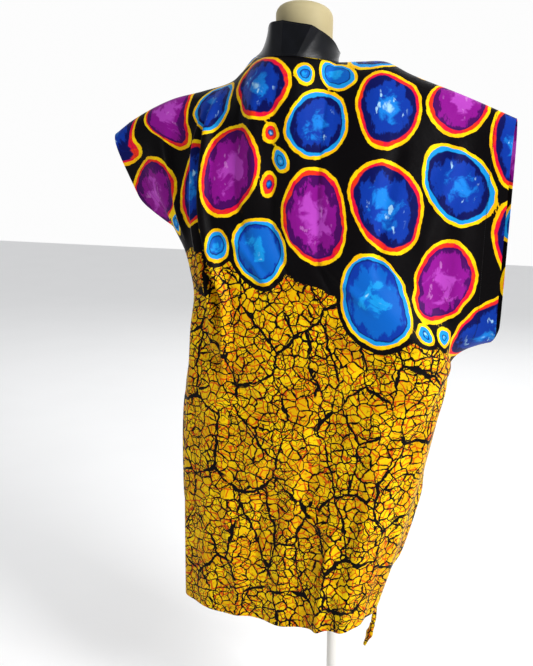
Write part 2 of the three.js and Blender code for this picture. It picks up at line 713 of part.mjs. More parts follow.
const collars = { right: band("right"), left: band("left") };
add("robe_back", wall(back, backNormals), COLOURS.print);
add("robe_front_right", wall(frontRight, rightNormals), COLOURS.print);
add("robe_front_left", wall(frontLeft, leftNormals), COLOURS.print);
add("collar_right", collars.right, COLOURS.band);
add("collar_left", collars.left, COLOURS.band);
add("tie_right", tie("right"), COLOURS.crackle);
add("tie_left", tie("left"), COLOURS.crackle);
add("shorts_right_leg", leg("right"), COLOURS.crackle);
add("shorts_left_leg", leg("left"), COLOURS.crackle);
add("shorts_waistband", waistband(), COLOURS.crackle);
add("form_torso", formBody(), COLOURS.form);
add("stand_pole", cylinder(POLE_DIAMETER, BASE_HEIGHT + SEAM_GAP, FORM_BOTTOM - SEAM_GAP, 24, POLE_X),
  COLOURS.stand, 0.4);
add("stand_base", cylinder(BASE_DIAMETER, 0, BASE_HEIGHT, 48), COLOURS.stand, 0.4);

export default group;
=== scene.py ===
import math
import random

import bpy
import numpy as np
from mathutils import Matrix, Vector


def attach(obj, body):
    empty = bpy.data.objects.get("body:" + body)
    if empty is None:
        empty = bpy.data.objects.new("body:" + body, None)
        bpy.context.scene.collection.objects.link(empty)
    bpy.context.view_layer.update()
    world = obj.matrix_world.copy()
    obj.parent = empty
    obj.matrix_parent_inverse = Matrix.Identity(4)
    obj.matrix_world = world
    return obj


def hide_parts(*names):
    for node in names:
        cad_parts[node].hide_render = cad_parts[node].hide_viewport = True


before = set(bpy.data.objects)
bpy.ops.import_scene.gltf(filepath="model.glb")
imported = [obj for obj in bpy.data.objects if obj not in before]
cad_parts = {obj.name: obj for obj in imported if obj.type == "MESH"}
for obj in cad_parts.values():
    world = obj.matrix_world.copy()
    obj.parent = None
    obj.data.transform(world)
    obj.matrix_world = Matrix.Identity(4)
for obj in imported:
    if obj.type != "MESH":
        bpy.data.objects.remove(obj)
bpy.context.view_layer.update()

# ---------------------------------------------------------------------------
# Stand. A round steel plate on the floor with an upright steel tube, both
# powder-coated off-white. The tube stands behind the wearer's right leg and
# carries the dress form.
# ---------------------------------------------------------------------------
FORM_X = -0.014
POLE_X, POLE_RADIUS, POLE_TOP = FORM_X - 0.080, 0.0125, 0.7447
BASE_RADIUS, BASE_HEIGHT = 0.175, 0.014


class Finish:
    """Short calls for building one finish out of shader nodes."""

    # a Mix node has sockets of every kind under the same names: these are its factor and its colours
    FACTOR, FIRST, SECOND, MIXED = 0, 6, 7, 2

    def __init__(self, name):
        self.material = bpy.data.materials.new(name)
        self.material.use_nodes = True
        self.tree = self.material.node_tree
        self.shader = next(n for n in self.tree.nodes if n.type == "BSDF_PRINCIPLED")

    def put(self, node, key, value):
        """Sets one input of a node, or links a socket to it; None leaves it alone."""
        if value is None:
            return
        if isinstance(value, bpy.types.NodeSocket):
            self.tree.links.new(value, node.inputs[key])
        else:
            node.inputs[key].default_value = value

    def set(self, **values):
        """Sets the shader's own sockets."""
        for key, value in values.items():
            self.put(self.shader, key.replace("_", " "), value)

    def add(self, kind, out=0, settings=None, **inputs):
        """A new node, with its inputs by name, or by number as i0, i1 and i2; gives one of its outputs."""
        node = self.tree.nodes.new(kind)
        for key, value in (settings or {}).items():
            setattr(node, key, value)
        for key, value in inputs.items():
            numbered = key[0] == "i" and key[1:].isdigit()
            self.put(node, int(key[1:]) if numbered else key.replace("_", " "), value)
        return node.outputs[out]

    def math(self, operation, a, b=None, c=None):
        return self.add("ShaderNodeMath", 0, {"operation": operation}, i0=a, i1=b, i2=c)

    def step(self, value, low, high):
        """0 below low, 1 above high."""
        return self.add("ShaderNodeMapRange", 0, {"interpolation_type": "SMOOTHSTEP"},
                        Value=value, From_Min=low, From_Max=high, To_Min=0.0, To_Max=1.0)

    def band(self, value, low, high, soft):
        """1 between low and high."""
        return self.math("MULTIPLY", self.step(value, low - soft, low), self.step(value, high + soft, high))

    def blend(self, share, a, b):
        node = self.tree.nodes.new("ShaderNodeMix")
        node.data_type = "RGBA"
        self.put(node, self.FACTOR, share)
        self.put(node, self.FIRST, a)
        self.put(node, self.SECOND, b)
        return node.outputs[self.MIXED]

    def over(self, below, value, low, high, colour, share=None):
        """A colour laid over another where a value passes from low to high."""
        mask = self.step(value, low, high)
        return self.blend(mask if share is None else self.math("MULTIPLY", mask, share), below, colour)

    def noise(self, place, scale, detail=3.0, rough=0.5, out=0, distortion=0.0):
        return self.add("ShaderNodeTexNoise", out, None, Vector=place, Scale=scale, Detail=detail,
                        Roughness=rough, Distortion=distortion)

    def threads(self, place, way, scale, distortion):
        """Fine ridges, as threads lie side by side."""
        return self.add("ShaderNodeTexWave", "Fac", {"wave_type": "BANDS", "bands_direction": way}, Vector=place,
                        Scale=scale, Distortion=distortion, Detail=1.0)

    def attribute(self, name):
        return self.add("ShaderNodeAttribute", "Fac", {"attribute_name": name})

    def solid(self):
        """The place in the piece's own space."""
        return self.add("ShaderNodeTexCoord", "Object")

    def cloth(self):
        """The place on the cloth laid flat."""
        return self.add("ShaderNodeUVMap", 0, {"uv_map": "cloth"})

    def raised(self, height, distance, strength=1.0, below=None):
        return self.add("ShaderNodeBump", 0, None, Strength=strength, Distance=distance, Height=height,
                        Normal=below)

    def bump(self, height, distance, strength=1.0, below=None):
        normal = self.raised(height, distance, strength, below)
        self.set(Normal=normal)
        return normal

    def place(self, effect, **inputs):
        """Places a node group; gives its outputs by name."""
        node = self.tree.nodes.new("ShaderNodeGroup")
        node.node_tree = effect.tree
        for key, value in inputs.items():
            self.put(node, key.replace("_", " "), value)
        return node.outputs


def rgb(red, green, blue):
    """A screen colour as the linear values that the nodes take."""
    return tuple(((c / 255 + 0.055) / 1.055) ** 2.4 if c > 10 else c / 255 / 12.92
                 for c in (red, green, blue)) + (1.0,)


def added(name, data):
    """A new object in the scene."""
    piece = bpy.data.objects.new(name, data)
    bpy.context.scene.collection.objects.link(piece)
    return piece


def shown(name, vertices, faces, material):
    mesh = bpy.data.meshes.new(name)
    mesh.from_pydata([tuple(float(c) for c in p) for p in vertices], [], faces)
    mesh.polygons.foreach_set("use_smooth", [True] * len(mesh.polygons))
    mesh.materials.append(material)
    return added(name, mesh)


def ring_faces(count, steps, endless=False):
    """Faces between rings of points, with both ends closed, or from the last ring on to the first."""
    sides = [(k * steps + i, k * steps + (i + 1) % steps, (k + 1) % count * steps + (i + 1) % steps,
              (k + 1) % count * steps + i) for k in range(count if endless else count - 1) for i in range(steps)]
    ends = [tuple(range(steps))[::-1], tuple((count - 1) * steps + i for i in range(steps))]
    return sides if endless else sides + ends


def turned(name, x, profile, material, steps=96):
    """A closed solid of revolution about an upright line; profile holds radius and height."""
    angle = np.arange(steps) * 2 * math.pi / steps
    vertices = [(x + r * math.cos(a), r * math.sin(a), z) for r, z in profile for a in angle]
    return shown(name, vertices, ring_faces(len(profile), steps), material)


powder_coat = Finish("powder_coated_steel")
powder_coat.set(Base_Color=rgb(226, 224, 218), Roughness=0.42)
powder_coat.bump(powder_coat.noise(powder_coat.solid(), 900.0, 2.0), 0.00012, 0.5)

PLATE_PROFILE = [  # radius, height: a rounded rim, then the flat top
    (BASE_RADIUS - 0.0030, 0.0), (BASE_RADIUS - 0.0006, 0.0010), (BASE_RADIUS, 0.0035), (BASE_RADIUS, 0.0095),
    (BASE_RADIUS - 0.0010, 0.0125), (BASE_RADIUS - 0.0040, BASE_HEIGHT), (0.020, BASE_HEIGHT),
]
POLE_PROFILE = [  # radius, height: a straight tube with a small round at each end
    (POLE_RADIUS - 0.0006, BASE_HEIGHT + 0.0003), (POLE_RADIUS, BASE_HEIGHT + 0.0010),
    (POLE_RADIUS, POLE_TOP - 0.0008), (POLE_RADIUS - 0.0006, POLE_TOP),
]
base = turned("base_plate", 0.0, PLATE_PROFILE, powder_coat.material)
pole = turned("upright_tube", POLE_X, POLE_PROFILE, powder_coat.material, 48)
for piece, node in ((base, "stand_base"), (pole, "stand_pole")):
    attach(piece, "root")
    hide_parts(node)

# ---------------------------------------------------------------------------
# Dress form. A moulded torso without arms or legs, under a smooth beige knit
# cover that is drawn up over the sloping cap of the neck.
# ---------------------------------------------------------------------------
CAP_TOP, CAP_SLANT, CAP_BACK, CAP_LENGTH = 1.512, 0.024, 0.034, 0.108
CAP_RING = 1.480                                # height of the form's outline that the cap follows
CAP_EDGE = (  # in from the neck's side, then down from the cap
    (0.0004, 0.020), (0.0006, 0.015), (0.0022, 0.0105), (0.0050, 0.0064), (0.0085, 0.0036),
    (0.0130, 0.0014), (0.0180, 0.0002), (0.0300, 0.0),
)
COVER_SINK = 0.0004                             # how far the cover lies inside the form's measured outline
FORM = np.array([  # height, half width, front, back
    (0.745, 0.140, -0.080, 0.082), (0.765, 0.152, -0.090, 0.092), (0.800, 0.159, -0.094, 0.097),
    (0.850, 0.161, -0.094, 0.099), (0.920, 0.148, -0.090, 0.089), (0.985, 0.130, -0.084, 0.074),
    (1.040, 0.124, -0.082, 0.069), (1.100, 0.131, -0.090, 0.077), (1.180, 0.149, -0.106, 0.088),
    (1.230, 0.161, -0.101, 0.086), (1.275, 0.173, -0.090, 0.074), (1.312, 0.180, -0.073, 0.057),
    (1.336, 0.176, -0.054, 0.042), (1.350, 0.177, -0.034, 0.030), (1.360, 0.158, -0.024, 0.024),
    (1.370, 0.131, -0.020, 0.020), (1.382, 0.083, -0.042, 0.036), (1.396, 0.068, -0.054, 0.036),
    (1.412, 0.057, -0.064, 0.038), (1.440, 0.053, -0.071, 0.034), (1.490, 0.053, -0.072, 0.033),
])


def ease(low, high, x):
    """0 up to low, 1 from high, smooth between them."""
    t = np.clip((x - low) / (high - low), 0, 1)
    return t * t * (3 - 2 * t)


def read(table, column, x):
    """A smooth curve through a table's rows: the column's value at x of the first column."""
    keys, values = table[:, 0], table[:, column]
    x = np.clip(np.asarray(x, float), keys[0], keys[-1])
    slopes = np.diff(values) / np.diff(keys)
    tangents = np.concatenate([slopes[:1], (slopes[1:] + slopes[:-1]) / 2, slopes[-1:]])
    i = np.clip(np.searchsorted(keys, x, side="left") - 1, 0, len(keys) - 2)
    h = keys[i + 1] - keys[i]
    t = (x - keys[i]) / h
    return ((2 * t ** 3 - 3 * t ** 2 + 1) * values[i] + (t ** 3 - 2 * t ** 2 + t) * h * tangents[i]
            + (-2 * t ** 3 + 3 * t ** 2) * values[i + 1] + (t ** 3 - t ** 2) * h * tangents[i + 1])


def levels(*stretches):
    """Even steps along stretches that join; each holds its start, its end and how many levels it has."""
    parts = [np.linspace(*stretch) for stretch in stretches]
    return np.concatenate([part[:-1] for part in parts[:-1]] + parts[-1:])


def form_ring(z, offset, steps=96):
    """The form's outline at one height, moved outwards by offset."""
    angle = np.arange(steps) * 2 * math.pi / steps
    half, front, back = (float(read(FORM, k, z)) for k in (1, 2, 3))
    c, s = np.cos(angle), np.sin(angle)
    deep = (back - front) / 2
    out = np.stack([c / half, s / deep], -1)
    out /= np.linalg.norm(out, axis=1)[:, None]
    return np.stack([FORM_X + half * c + out[:, 0] * offset, (back + front) / 2 + deep * s + out[:, 1] * offset,
                     np.full(steps, z)], -1)


knit = Finish("beige_knit_cover")
place = knit.solid()
knit.set(Base_Color=knit.over(rgb(172, 158, 116), knit.noise(place, 9.0, 3.0), 0.35, 0.65, rgb(182, 169, 128)),
         Roughness=0.62, Specular_IOR_Level=0.35)
knit.bump(knit.threads(place, "Z", 260.0, 1.2), 0.00012, 0.6,
          knit.bump(knit.noise(place, 26.0, 2.0), 0.0010, 0.3))

rings = [form_ring(z, -COVER_SINK) for z in levels((0.745, 0.765, 6), (0.765, 1.34, 58), (1.34, 1.45, 34))]
for inset, below in CAP_EDGE:
    ring = form_ring(CAP_RING, -inset)
    ring[:, 2] = CAP_TOP - CAP_SLANT * (CAP_BACK - ring[:, 1]) / CAP_LENGTH - below
    rings.append(ring)
torso = shown("form_cover", np.concatenate(rings), ring_faces(len(rings), len(rings[0])), knit.material)
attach(torso, "root")
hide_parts("form_torso")

# ---------------------------------------------------------------------------
# Shorts. Two legs of wax-printed cotton with a yellow crackle ground, turned
# up at the hems and gathered into an elastic waistband of the same cloth.
# ---------------------------------------------------------------------------
SIDES = {"right": -1, "left": 1}                # which way x runs towards each side of the wearer
SEAM_GAP, CLOTH = 0.0003, 0.0011                # clear width of a seam, thickness of the cotton
WAISTBAND_TOP, WAISTBAND_BOTTOM, SHORTS_HEM, SHORTS_TURNING = 1.000, 0.965, 0.560, 0.020
LEG_STEPS, LEG_ROUND, LEG_PRINT_START = 161, 0.56, 2.0
RIPPLES, RIPPLE, GATHERS, GATHER = 7, 0.0035, 50, 0.0016
LEG = np.array([  # height, outer, centre, front, back
    (0.560, 0.188, 0.096, -0.104, 0.108), (0.610, 0.183, 0.094, -0.103, 0.108),
    (0.660, 0.178, 0.089, -0.102, 0.108), (0.690, 0.176, 0.078, -0.102, 0.108),
    (0.730, 0.174, 0.056, -0.102, 0.108), (0.770, 0.172, 0.025, -0.102, 0.107),
    (0.800, 0.171, 0.000, -0.102, 0.107), (0.870, 0.168, 0.000, -0.100, 0.106),
    (0.920, 0.158, 0.000, -0.097, 0.098), (0.965, 0.143, 0.000, -0.092, 0.086),
])
WAX_YELLOW, WAX_AMBER, WAX_BROWN = rgb(242, 204, 4), rgb(222, 170, 0), rgb(200, 128, 0)
SCRATCH_RED, DYE_BLACK = rgb(204, 46, 6), rgb(7, 5, 6)
NO_HEM = 0.05                                   # the hem value of cloth that has no hem near it


class Effect(Finish):
    """A node group with named inputs and outputs, built once and placed wherever it is needed."""

    def __init__(self, name, inputs, outputs, kind="ShaderNodeTree"):
        self.tree = bpy.data.node_groups.new(name, kind)
        for label, sort, value in inputs:
            socket = self.tree.interface.new_socket(name=label, in_out="INPUT",
                                                    socket_type="NodeSocket" + sort)
            if value is not None:
                socket.default_value = value
        for label, sort in outputs:
            self.tree.interface.new_socket(name=label, in_out="OUTPUT", socket_type="NodeSocket" + sort)
        self.given = self.tree.nodes.new("NodeGroupInput").outputs
        self.made = self.tree.nodes.new("NodeGroupOutput")


def cracks(f, place, scale):
    """Distance from the nearest line between cells."""
    return f.add("ShaderNodeTexVoronoi", 0, {"feature": "DISTANCE_TO_EDGE", "voronoi_dimensions": "2D"},
                 Vector=place, Scale=scale, Randomness=1.0)


def pushed(f, place, scale, amount, detail=3.0):
    """The same place on the cloth, pushed about so that straight lines wander."""
    return f.add("ShaderNodeVectorMath", 0, {"operation": "MULTIPLY_ADD"},
                 i0=f.noise(place, scale, detail, 0.6, "Color"), i1=(amount, amount, 0.0), i2=place)


def crackle_effect():
    """Yellow wax-resist ground: thin black cells, heavier broken cracks and red scratches."""
    f = Effect("crackle_print",
               (("Cloth", "Vector", None), ("Cells", "Float", 50.0), ("Yellow", "Color", WAX_YELLOW),
                ("Amber", "Color", WAX_AMBER), ("Brown", "Color", WAX_BROWN),
                ("Scratches", "Color", SCRATCH_RED), ("Cracks", "Color", DYE_BLACK)),
               (("Print", "Color"),))
    cloth, cells = f.given["Cloth"], f.given["Cells"]
    wander = pushed(f, pushed(f, cloth, 20.0, 0.026), 85.0, 0.007)
    patches = f.noise(cloth, 7.0, 3.0, 0.55)
    wet = f.noise(cloth, 50.0, 3.0, 0.6)
    # cells of about 20 mm, with a line 1 to 3 mm wide
    line = f.math("MULTIPLY_ADD", wet, 0.18, f.math("MULTIPLY_ADD", patches, 0.06, -0.048))
    thin = f.step(cracks(f, wander, cells), f.math("ADD", line, 0.014), f.math("MULTIPLY", line, 0.80))
    # smaller cells inside some of them
    inner = f.step(cracks(f, wander, f.math("MULTIPLY", cells, 1.84)), 0.085, 0.045)
    inner = f.math("MULTIPLY", inner, f.step(f.noise(cloth, 22.0, 3.0), 0.45, 0.52))
    # long heavy cracks that break off
    heavy = f.math("MULTIPLY_ADD", patches, 0.060, -0.029)
    heavy = f.math("MULTIPLY_ADD", f.noise(cloth, 42.0, 3.0), 0.056, heavy)
    tall = f.add("ShaderNodeVectorMath", 0, {"operation": "MULTIPLY"}, i0=pushed(f, wander, 9.0, 0.035),
                 i1=(1.20, 0.78, 1.0))
    thick = f.step(cracks(f, tall, 10.5), heavy, f.math("MULTIPLY", heavy, 0.82))
    thick = f.math("MULTIPLY", thick, f.step(f.noise(cloth, 12.0, 2.0), 0.36, 0.41))
    black = f.math("MAXIMUM", f.math("MAXIMUM", thin, inner), thick)
    # red scratches: short strokes across the cells
    scratch = f.step(cracks(f, pushed(f, cloth, 11.0, 0.075, 2.0), 60.0), 0.092, 0.050)
    scratch = f.math("MULTIPLY", scratch, f.step(f.noise(cloth, 44.0, 2.0), 0.34, 0.40))
    ground = f.over(f.given["Amber"], f.noise(cloth, 13.0, 4.0, 0.6), 0.38, 0.62, f.given["Yellow"])
    ground = f.over(ground, f.noise(cloth, 105.0, 3.0, 0.6), 0.54, 0.70, f.given["Brown"])
    ground = f.blend(f.math("MULTIPLY", scratch, 0.85), ground, f.given["Scratches"])
    f.put(f.made, "Print", f.blend(black, ground, f.given["Cracks"]))
    return f


def cotton_effect():
    """Crisp plain weave with a slight polish, small creases, and hems that show as a low step."""
    f = Effect("plain_weave_cotton",
               (("Cloth", "Vector", None), ("Print", "Color", (0.5, 0.5, 0.5, 1.0)), ("Hem", "Float", NO_HEM),
                ("Threads", "Float", 300.0), ("Crease height", "Float", 0.0034)),
               (("Colour", "Color"), ("Roughness", "Float"), ("Normal", "Vector")))
    cloth = f.given["Cloth"]
    crossed = f.math("MULTIPLY", *(f.threads(cloth, way, f.given["Threads"], 0.5) for way in "XY"))
    f.put(f.made, "Colour", f.blend(f.math("MULTIPLY", crossed, 0.08), f.given["Print"], (0, 0, 0, 1)))
    f.put(f.made, "Roughness", f.math("MULTIPLY_ADD", f.noise(cloth, 26.0, 3.0), 0.14, 0.40))
    below = f.raised(crossed, 0.00025, 0.3)
    below = f.raised(f.noise(pushed(f, cloth, 8.0, 0.05), 19.0, 4.0, 0.55), f.given["Crease height"], 0.65, below)
    f.put(f.made, "Normal", f.raised(f.step(f.given["Hem"], 0.0006, -0.0006), 0.0007, 0.9, below))
    return f


crackle, weave = crackle_effect(), cotton_effect()


def cotton(f, colour, **values):
    """Lays the weave over a print; only what changes over the cloth comes from the group."""
    laid = f.place(weave, Cloth=f.cloth(), Print=colour, Hem=f.attribute("hem"), **values)
    f.set(Base_Color=laid["Colour"], Roughness=laid["Roughness"], Normal=laid["Normal"], Specular_IOR_Level=0.06)


def crackled(name, cells, crease_height):
    """A cotton with the crackle print all over it."""
    f = Finish(name)
    cotton(f, f.place(crackle, Cloth=f.cloth(), Cells=cells)["Print"], Crease_height=crease_height)
    return f.material


def panel(name, points, u, v, thickness, material, marks=None, pressed=None):
    """A grid of points as one thin shell; u and v are its places on the cloth, marks are values per point,
    and pressed is a row of it that is creased sharp."""
    rows, columns = points.shape[:2]
    index = np.arange(rows * columns).reshape(rows, columns)
    quads = np.stack([index[:-1, :-1], index[1:, :-1], index[1:, 1:], index[:-1, 1:]], -1).reshape(-1, 4)
    piece = shown(name, points.reshape(-1, 3), quads.tolist(), material)
    corner = np.empty(len(piece.data.loops), np.int32)
    piece.data.loops.foreach_get("vertex_index", corner)
    flat = np.stack([u.reshape(-1), v.reshape(-1)], -1)[corner]
    piece.data.uv_layers.new(name="cloth").data.foreach_set("uv", flat.reshape(-1).astype(np.float32))
    ends = np.empty(2 * len(piece.data.edges), np.int32)
    piece.data.edges.foreach_get("vertices", ends)
    at_edge = np.zeros(len(ends) // 2, bool)
    borders = (0, rows - 1, pressed), (0, columns - 1)
    for place, lines in zip(np.divmod(ends.reshape(-1, 2), columns), borders):
        for line in lines:
            at_edge |= (place == line).all(1)
    piece.data.attributes.new("sharp_edge", "BOOLEAN", "EDGE").data.foreach_set("value", at_edge)
    for label, values in (marks or {}).items():
        layer = piece.data.attributes.new(label, "FLOAT", "POINT")
        layer.data.foreach_set("value", np.asarray(values).reshape(-1).astype(np.float32))
    shell = piece.modifiers.new("thickness", "SOLIDIFY")
    shell.thickness, shell.offset = thickness, -1.0
    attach(piece, "root")
    return piece


def wrapped(piece, steps, place):
    """Gives a piece made of rings its cloth; place tells where step i of ring k lies on it."""
    layer = piece.data.uv_layers.new(name="cloth")
    for loop in piece.data.loops:
        layer.data[loop.index].uv = place(*divmod(loop.vertex_index, steps))
    layer = piece.data.attributes.new("hem", "FLOAT", "POINT")
    layer.data.foreach_set("value", [NO_HEM] * len(piece.data.vertices))


leg_cotton = crackled("crackle_printed_cotton", 52.0, 0.0050)
heights = levels((WAISTBAND_BOTTOM - SEAM_GAP, 0.80, 40), (0.80, 0.66, 60), (0.66, SHORTS_HEM, 30))
shorts_legs = {}
for side, sign in SIDES.items():
    rows = []
    for z in heights:
        outer, centre, front, back = (float(read(LEG, k, z)) for k in (1, 2, 3, 4))
        wide, deep, middle = outer - centre, (back - front) / 2, (back + front) / 2
        seam = math.acos(min(max((SEAM_GAP / 2 - centre) / wide, -1), 1))
        last = min(seam, math.pi - SEAM_GAP / 2 / deep)
        angle = np.linspace(-last, last, LEG_STEPS)
        loose, gathered = 1 - float(ease(0.800, 0.940, z)), float(ease(0.87, 0.965, z))
        ripple = RIPPLE * loose * np.sin(RIPPLES * angle + sign) + GATHER * np.sin(GATHERS * angle) * gathered
        ripple *= 1 - np.abs(angle / last) ** 6
        x = np.maximum(centre + (wide + ripple) * np.cos(angle), SEAM_GAP / 2)
        rows.append(np.stack([FORM_X + sign * x, middle + (deep + ripple) * np.sin(angle), np.full_like(x, z)], -1))
    surface = np.array(rows)
    if side == "right":
        surface = surface[:, ::-1]
    u, v = np.meshgrid(np.linspace(0, LEG_ROUND, LEG_STEPS), WAISTBAND_TOP - heights)
    hem = np.repeat(heights[:, None], LEG_STEPS, 1) - (SHORTS_HEM + SHORTS_TURNING)
    piece = panel("shorts_leg_" + side, surface, u + LEG_PRINT_START, v, CLOTH, leg_cotton, {"hem": hem})
    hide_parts("shorts_" + side + "_leg")
    shorts_legs[side] = surface

WAIST_STEPS, WAIST_LEVELS, WAIST_ROUND, WAIST_RISE, WAIST_PRINT_START = 480, 29, 0.9, 0.00125, 4.0
WAIST_LINING, WAIST_PLUMP, WAIST_SEAM, WAIST_PUCKER = 0.0003, 0.0060, 0.0009, 0.0007
ELASTIC_ROWS, PUCKERS = 4, 104
around = np.arange(WAIST_STEPS) * 2 * math.pi / WAIST_STEPS
rings, heights = [], np.linspace(WAISTBAND_BOTTOM, WAISTBAND_TOP, WAIST_LEVELS)
for z in heights:
    t = (z - WAISTBAND_BOTTOM) / (WAISTBAND_TOP - WAISTBAND_BOTTOM)
    channel = abs(math.sin(math.pi * ELASTIC_ROWS * t)) ** 0.6      # 0 at the seams between the rows of elastic
    offset = WAIST_LINING + WAIST_PLUMP * min(1.0, 6 * t + 0.45, 6 * (1 - t) + 0.45)
    ring = form_ring(z, offset - (WAIST_SEAM * (1 - channel) + WAIST_PUCKER), WAIST_STEPS)
    pucker = WAIST_PUCKER * np.sin(around * PUCKERS + 0.7 * math.sin(9 * t))
    away = ring[:, :2] - (FORM_X, 0.0)
    ring[:, :2] += away / np.linalg.norm(away, axis=1)[:, None] * pucker[:, None] * channel
    rings.append(ring)
rings += [form_ring(z, WAIST_LINING, WAIST_STEPS) for z in heights[::-1]]
waistband = shown("elastic_waistband", np.concatenate(rings), ring_faces(len(rings), WAIST_STEPS, True),
                  crackled("gathered_waistband_cotton", 50.0, 0.0025))
wrapped(waistband, WAIST_STEPS, lambda k, i: (WAIST_PRINT_START + i / WAIST_STEPS * WAIST_ROUND, k * WAIST_RISE))
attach(waistband, "root")
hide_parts("shorts_waistband")

# ---------------------------------------------------------------------------
# Robe back. One wide piece of printed cotton from the neck to the hem, with
# the backs of both short sleeves cut in one with it. It hangs from the
# form's shoulders and stands off the body below them.
# ---------------------------------------------------------------------------
LENGTH, CUFF_DROP, UNDERARM = 1.05, 0.40, 0.48
HALF_CUFF, HALF_BODY, NECK_HALF, FRONT_EDGE = 0.430, 0.330, 0.085, 0.100
NECK_DEPTH, NECK_HEIGHT, NECK_DROP = 0.064, 1.408, 0.150
CUFF_HEM, LOWER_HEM = 0.037, 0.016
NECK_STAND, SEAM_ROUND = 0.030, 0.014           # least stand-off at the neck, how far a seam holds the cloth in

RIDGE = {  # out, x, z
    "right": np.array([(0, 0, 1.404), (0.085, 0.085, 1.400), (0.130, 0.130, 1.400), (0.177, 0.174, 1.398),
                       (0.225, 0.219, 1.376), (0.330, 0.316, 1.337), (0.430, 0.405, 1.298)]),
    "left": np.array([(0, 0, 1.425), (0.085, 0.074, 1.415), (0.117, 0.096, 1.392), (0.148, 0.119, 1.373),
                      (0.212, 0.180, 1.356), (0.290, 0.254, 1.340), (0.384, 0.340, 1.302), (0.430, 0.380, 1.276)]),
}
STAND = {  # out, back, front
    "right": np.array([(0, 0.075, 0.140), (0.100, 0.116, 0.140), (0.180, 0.116, 0.118), (0.250, 0.086, 0.074),
                       (0.330, 0.044, 0.042), (0.430, 0.032, 0.030)]),
    "left": np.array([(0, 0.075, 0.140), (0.100, 0.116, 0.140), (0.172, 0.118, 0.118), (0.206, 0.066, 0.090),
                      (0.330, 0.044, 0.042), (0.430, 0.032, 0.030)]),
}
TUBE = np.array([  # down, back right, back left, front left and front right corners, then three heights
    (0.280, -0.335, 0.122, 0.172, 0.135, 0.225, -0.165, -0.290, -0.130, 1.000, 1.130, 1.120),
    (0.480, -0.330, 0.116, 0.166, 0.138, 0.214, -0.170, -0.280, -0.138, 0.842, 0.935, 0.988),
    (0.700, -0.290, 0.120, 0.164, 0.136, 0.313, -0.165, -0.252, -0.142, 0.662, 0.700, 0.770),
    (0.880, -0.248, 0.124, 0.168, 0.134, 0.311, -0.152, -0.222, -0.144, 0.522, 0.514, 0.590),
    (1.050, -0.209, 0.126, 0.174, 0.128, 0.296, -0.138, -0.176, -0.144, 0.408, 0.337, 0.402),
])
TUBE_STEPS, CORNER_POWER, FRONT_RETURN = 160, 5.0, 0.75
SEAM_PLACE = {"right": -0.15, "left": -0.35}
TUBE_STARTS = {"right": 0.375, "left": 0.230}
TUBE_FULL = 0.500
HEM_RISE = {"right": 1.6, "left": 3}
SWING = {"left": (0.200, 0.20, 0.17, 0.56), "right": (0.260, 0.0, 0.035, 1.0)}  # from, forward, inward, tuck
FOLD_RISE, FOLD_FADE = 0.110, 0.150             # how far down the cloth a fold takes to rise and to fade
BACK_FOLDS = [  # across, width, height, from, to
    (0.385, 0.018, 0.019, 0.020, 0.640), (0.455, 0.018, 0.016, 0.040, 0.580), (0.420, 0.015, -0.012, 0.030, 0.520),
    (0.58, 0.05, 0.011, 0.420, 1.300), (0.10, 0.07, -0.013, 0.700, 1.400),
    (-0.42, 0.05, 0.013, 0.760, 1.400), (-0.14, 0.09, -0.009, 0.520, 1.300),
    (0.30, 0.08, -0.009, 0.560, 1.150), (-0.60, 0.06, -0.010, 0.560, 1.300),
    (-0.80, 0.07, 0.009, 0.120, 0.620), (0.78, 0.07, 0.008, 0.060, 0.470),
]
FRONT_FOLDS = {
    "right": [(0.50, 0.07, 0.010, 0.060, 0.760), (0.28, 0.07, -0.009, 0.300, 1.300),
              (0.72, 0.08, 0.008, 0.420, 1.400)],
    "left": [(0.44, 0.06, 0.012, 0.060, 0.820), (0.24, 0.06, -0.010, 0.260, 1.300),
             (0.66, 0.08, 0.009, 0.380, 1.400)],
}


def half_width(down):
    """Half the width of the cloth: the cuff, the round under the arm, then the body."""
    return HALF_CUFF + (HALF_BODY - HALF_CUFF) * np.clip((down - CUFF_DROP) / (UNDERARM - CUFF_DROP), 0, 1)


def neck_edge(down):
    """How far out a front's own edge lies."""
    return NECK_HALF + (FRONT_EDGE - NECK_HALF) * ease(0, NECK_DROP, down)


def shoulder_points(side, face, out, down):
    """Cloth that hangs over the shoulder and the arm; out and down are lengths along it."""
    facing = -1 if face == "front" else 1
    reach = np.maximum(out, NECK_HALF)
    x, z = read(RIDGE[side], 1, reach), read(RIDGE[side], 2, reach)
    start = np.full_like(out, facing * SEAM_GAP / 2)
    stand = read(STAND[side], 2 if face == "front" else 1, out)
    if face == "back":
        a = np.minimum(out / NECK_HALF, 1)
        x = x * a
        z = np.where(out < NECK_HALF, NECK_HEIGHT + (z - NECK_HEIGHT) * a * a, z)
        start = np.where(out < NECK_HALF, NECK_DEPTH + (start - NECK_DEPTH) * a * a, start)
        stand = np.where(out < NECK_HALF, np.maximum(stand - start * 0.5, NECK_STAND), stand)
    # the curve of a sheet that leaves a ridge level and ends plumb; far down it is a straight line
    q = np.exp(-down / stand)
    turn = np.sqrt(np.maximum(1 - q * q, 0))
    drop = np.where(down / stand > 6, down - stand * (1 - math.log(2)),
                    stand * (np.arctanh(np.minimum(turn, 1 - 1e-12)) - turn))
    seam_down = np.clip(down, CUFF_DROP, UNDERARM)
    away = np.hypot(np.maximum(half_width(down) - out, 0), np.maximum(seam_down - down, 0))
    y = start + facing * stand * (1 - q) * (1 - np.exp(-away / SEAM_ROUND))
    first, forward, inward, tuck = SWING[side]
    share = ease(first, HALF_CUFF, out)
    drop = drop * (1 + (tuck - 1) * share)
    y = y - forward * share * down
    x = x - inward * share * down
    return np.stack([SIDES[side] * x, y, z - drop], -1)


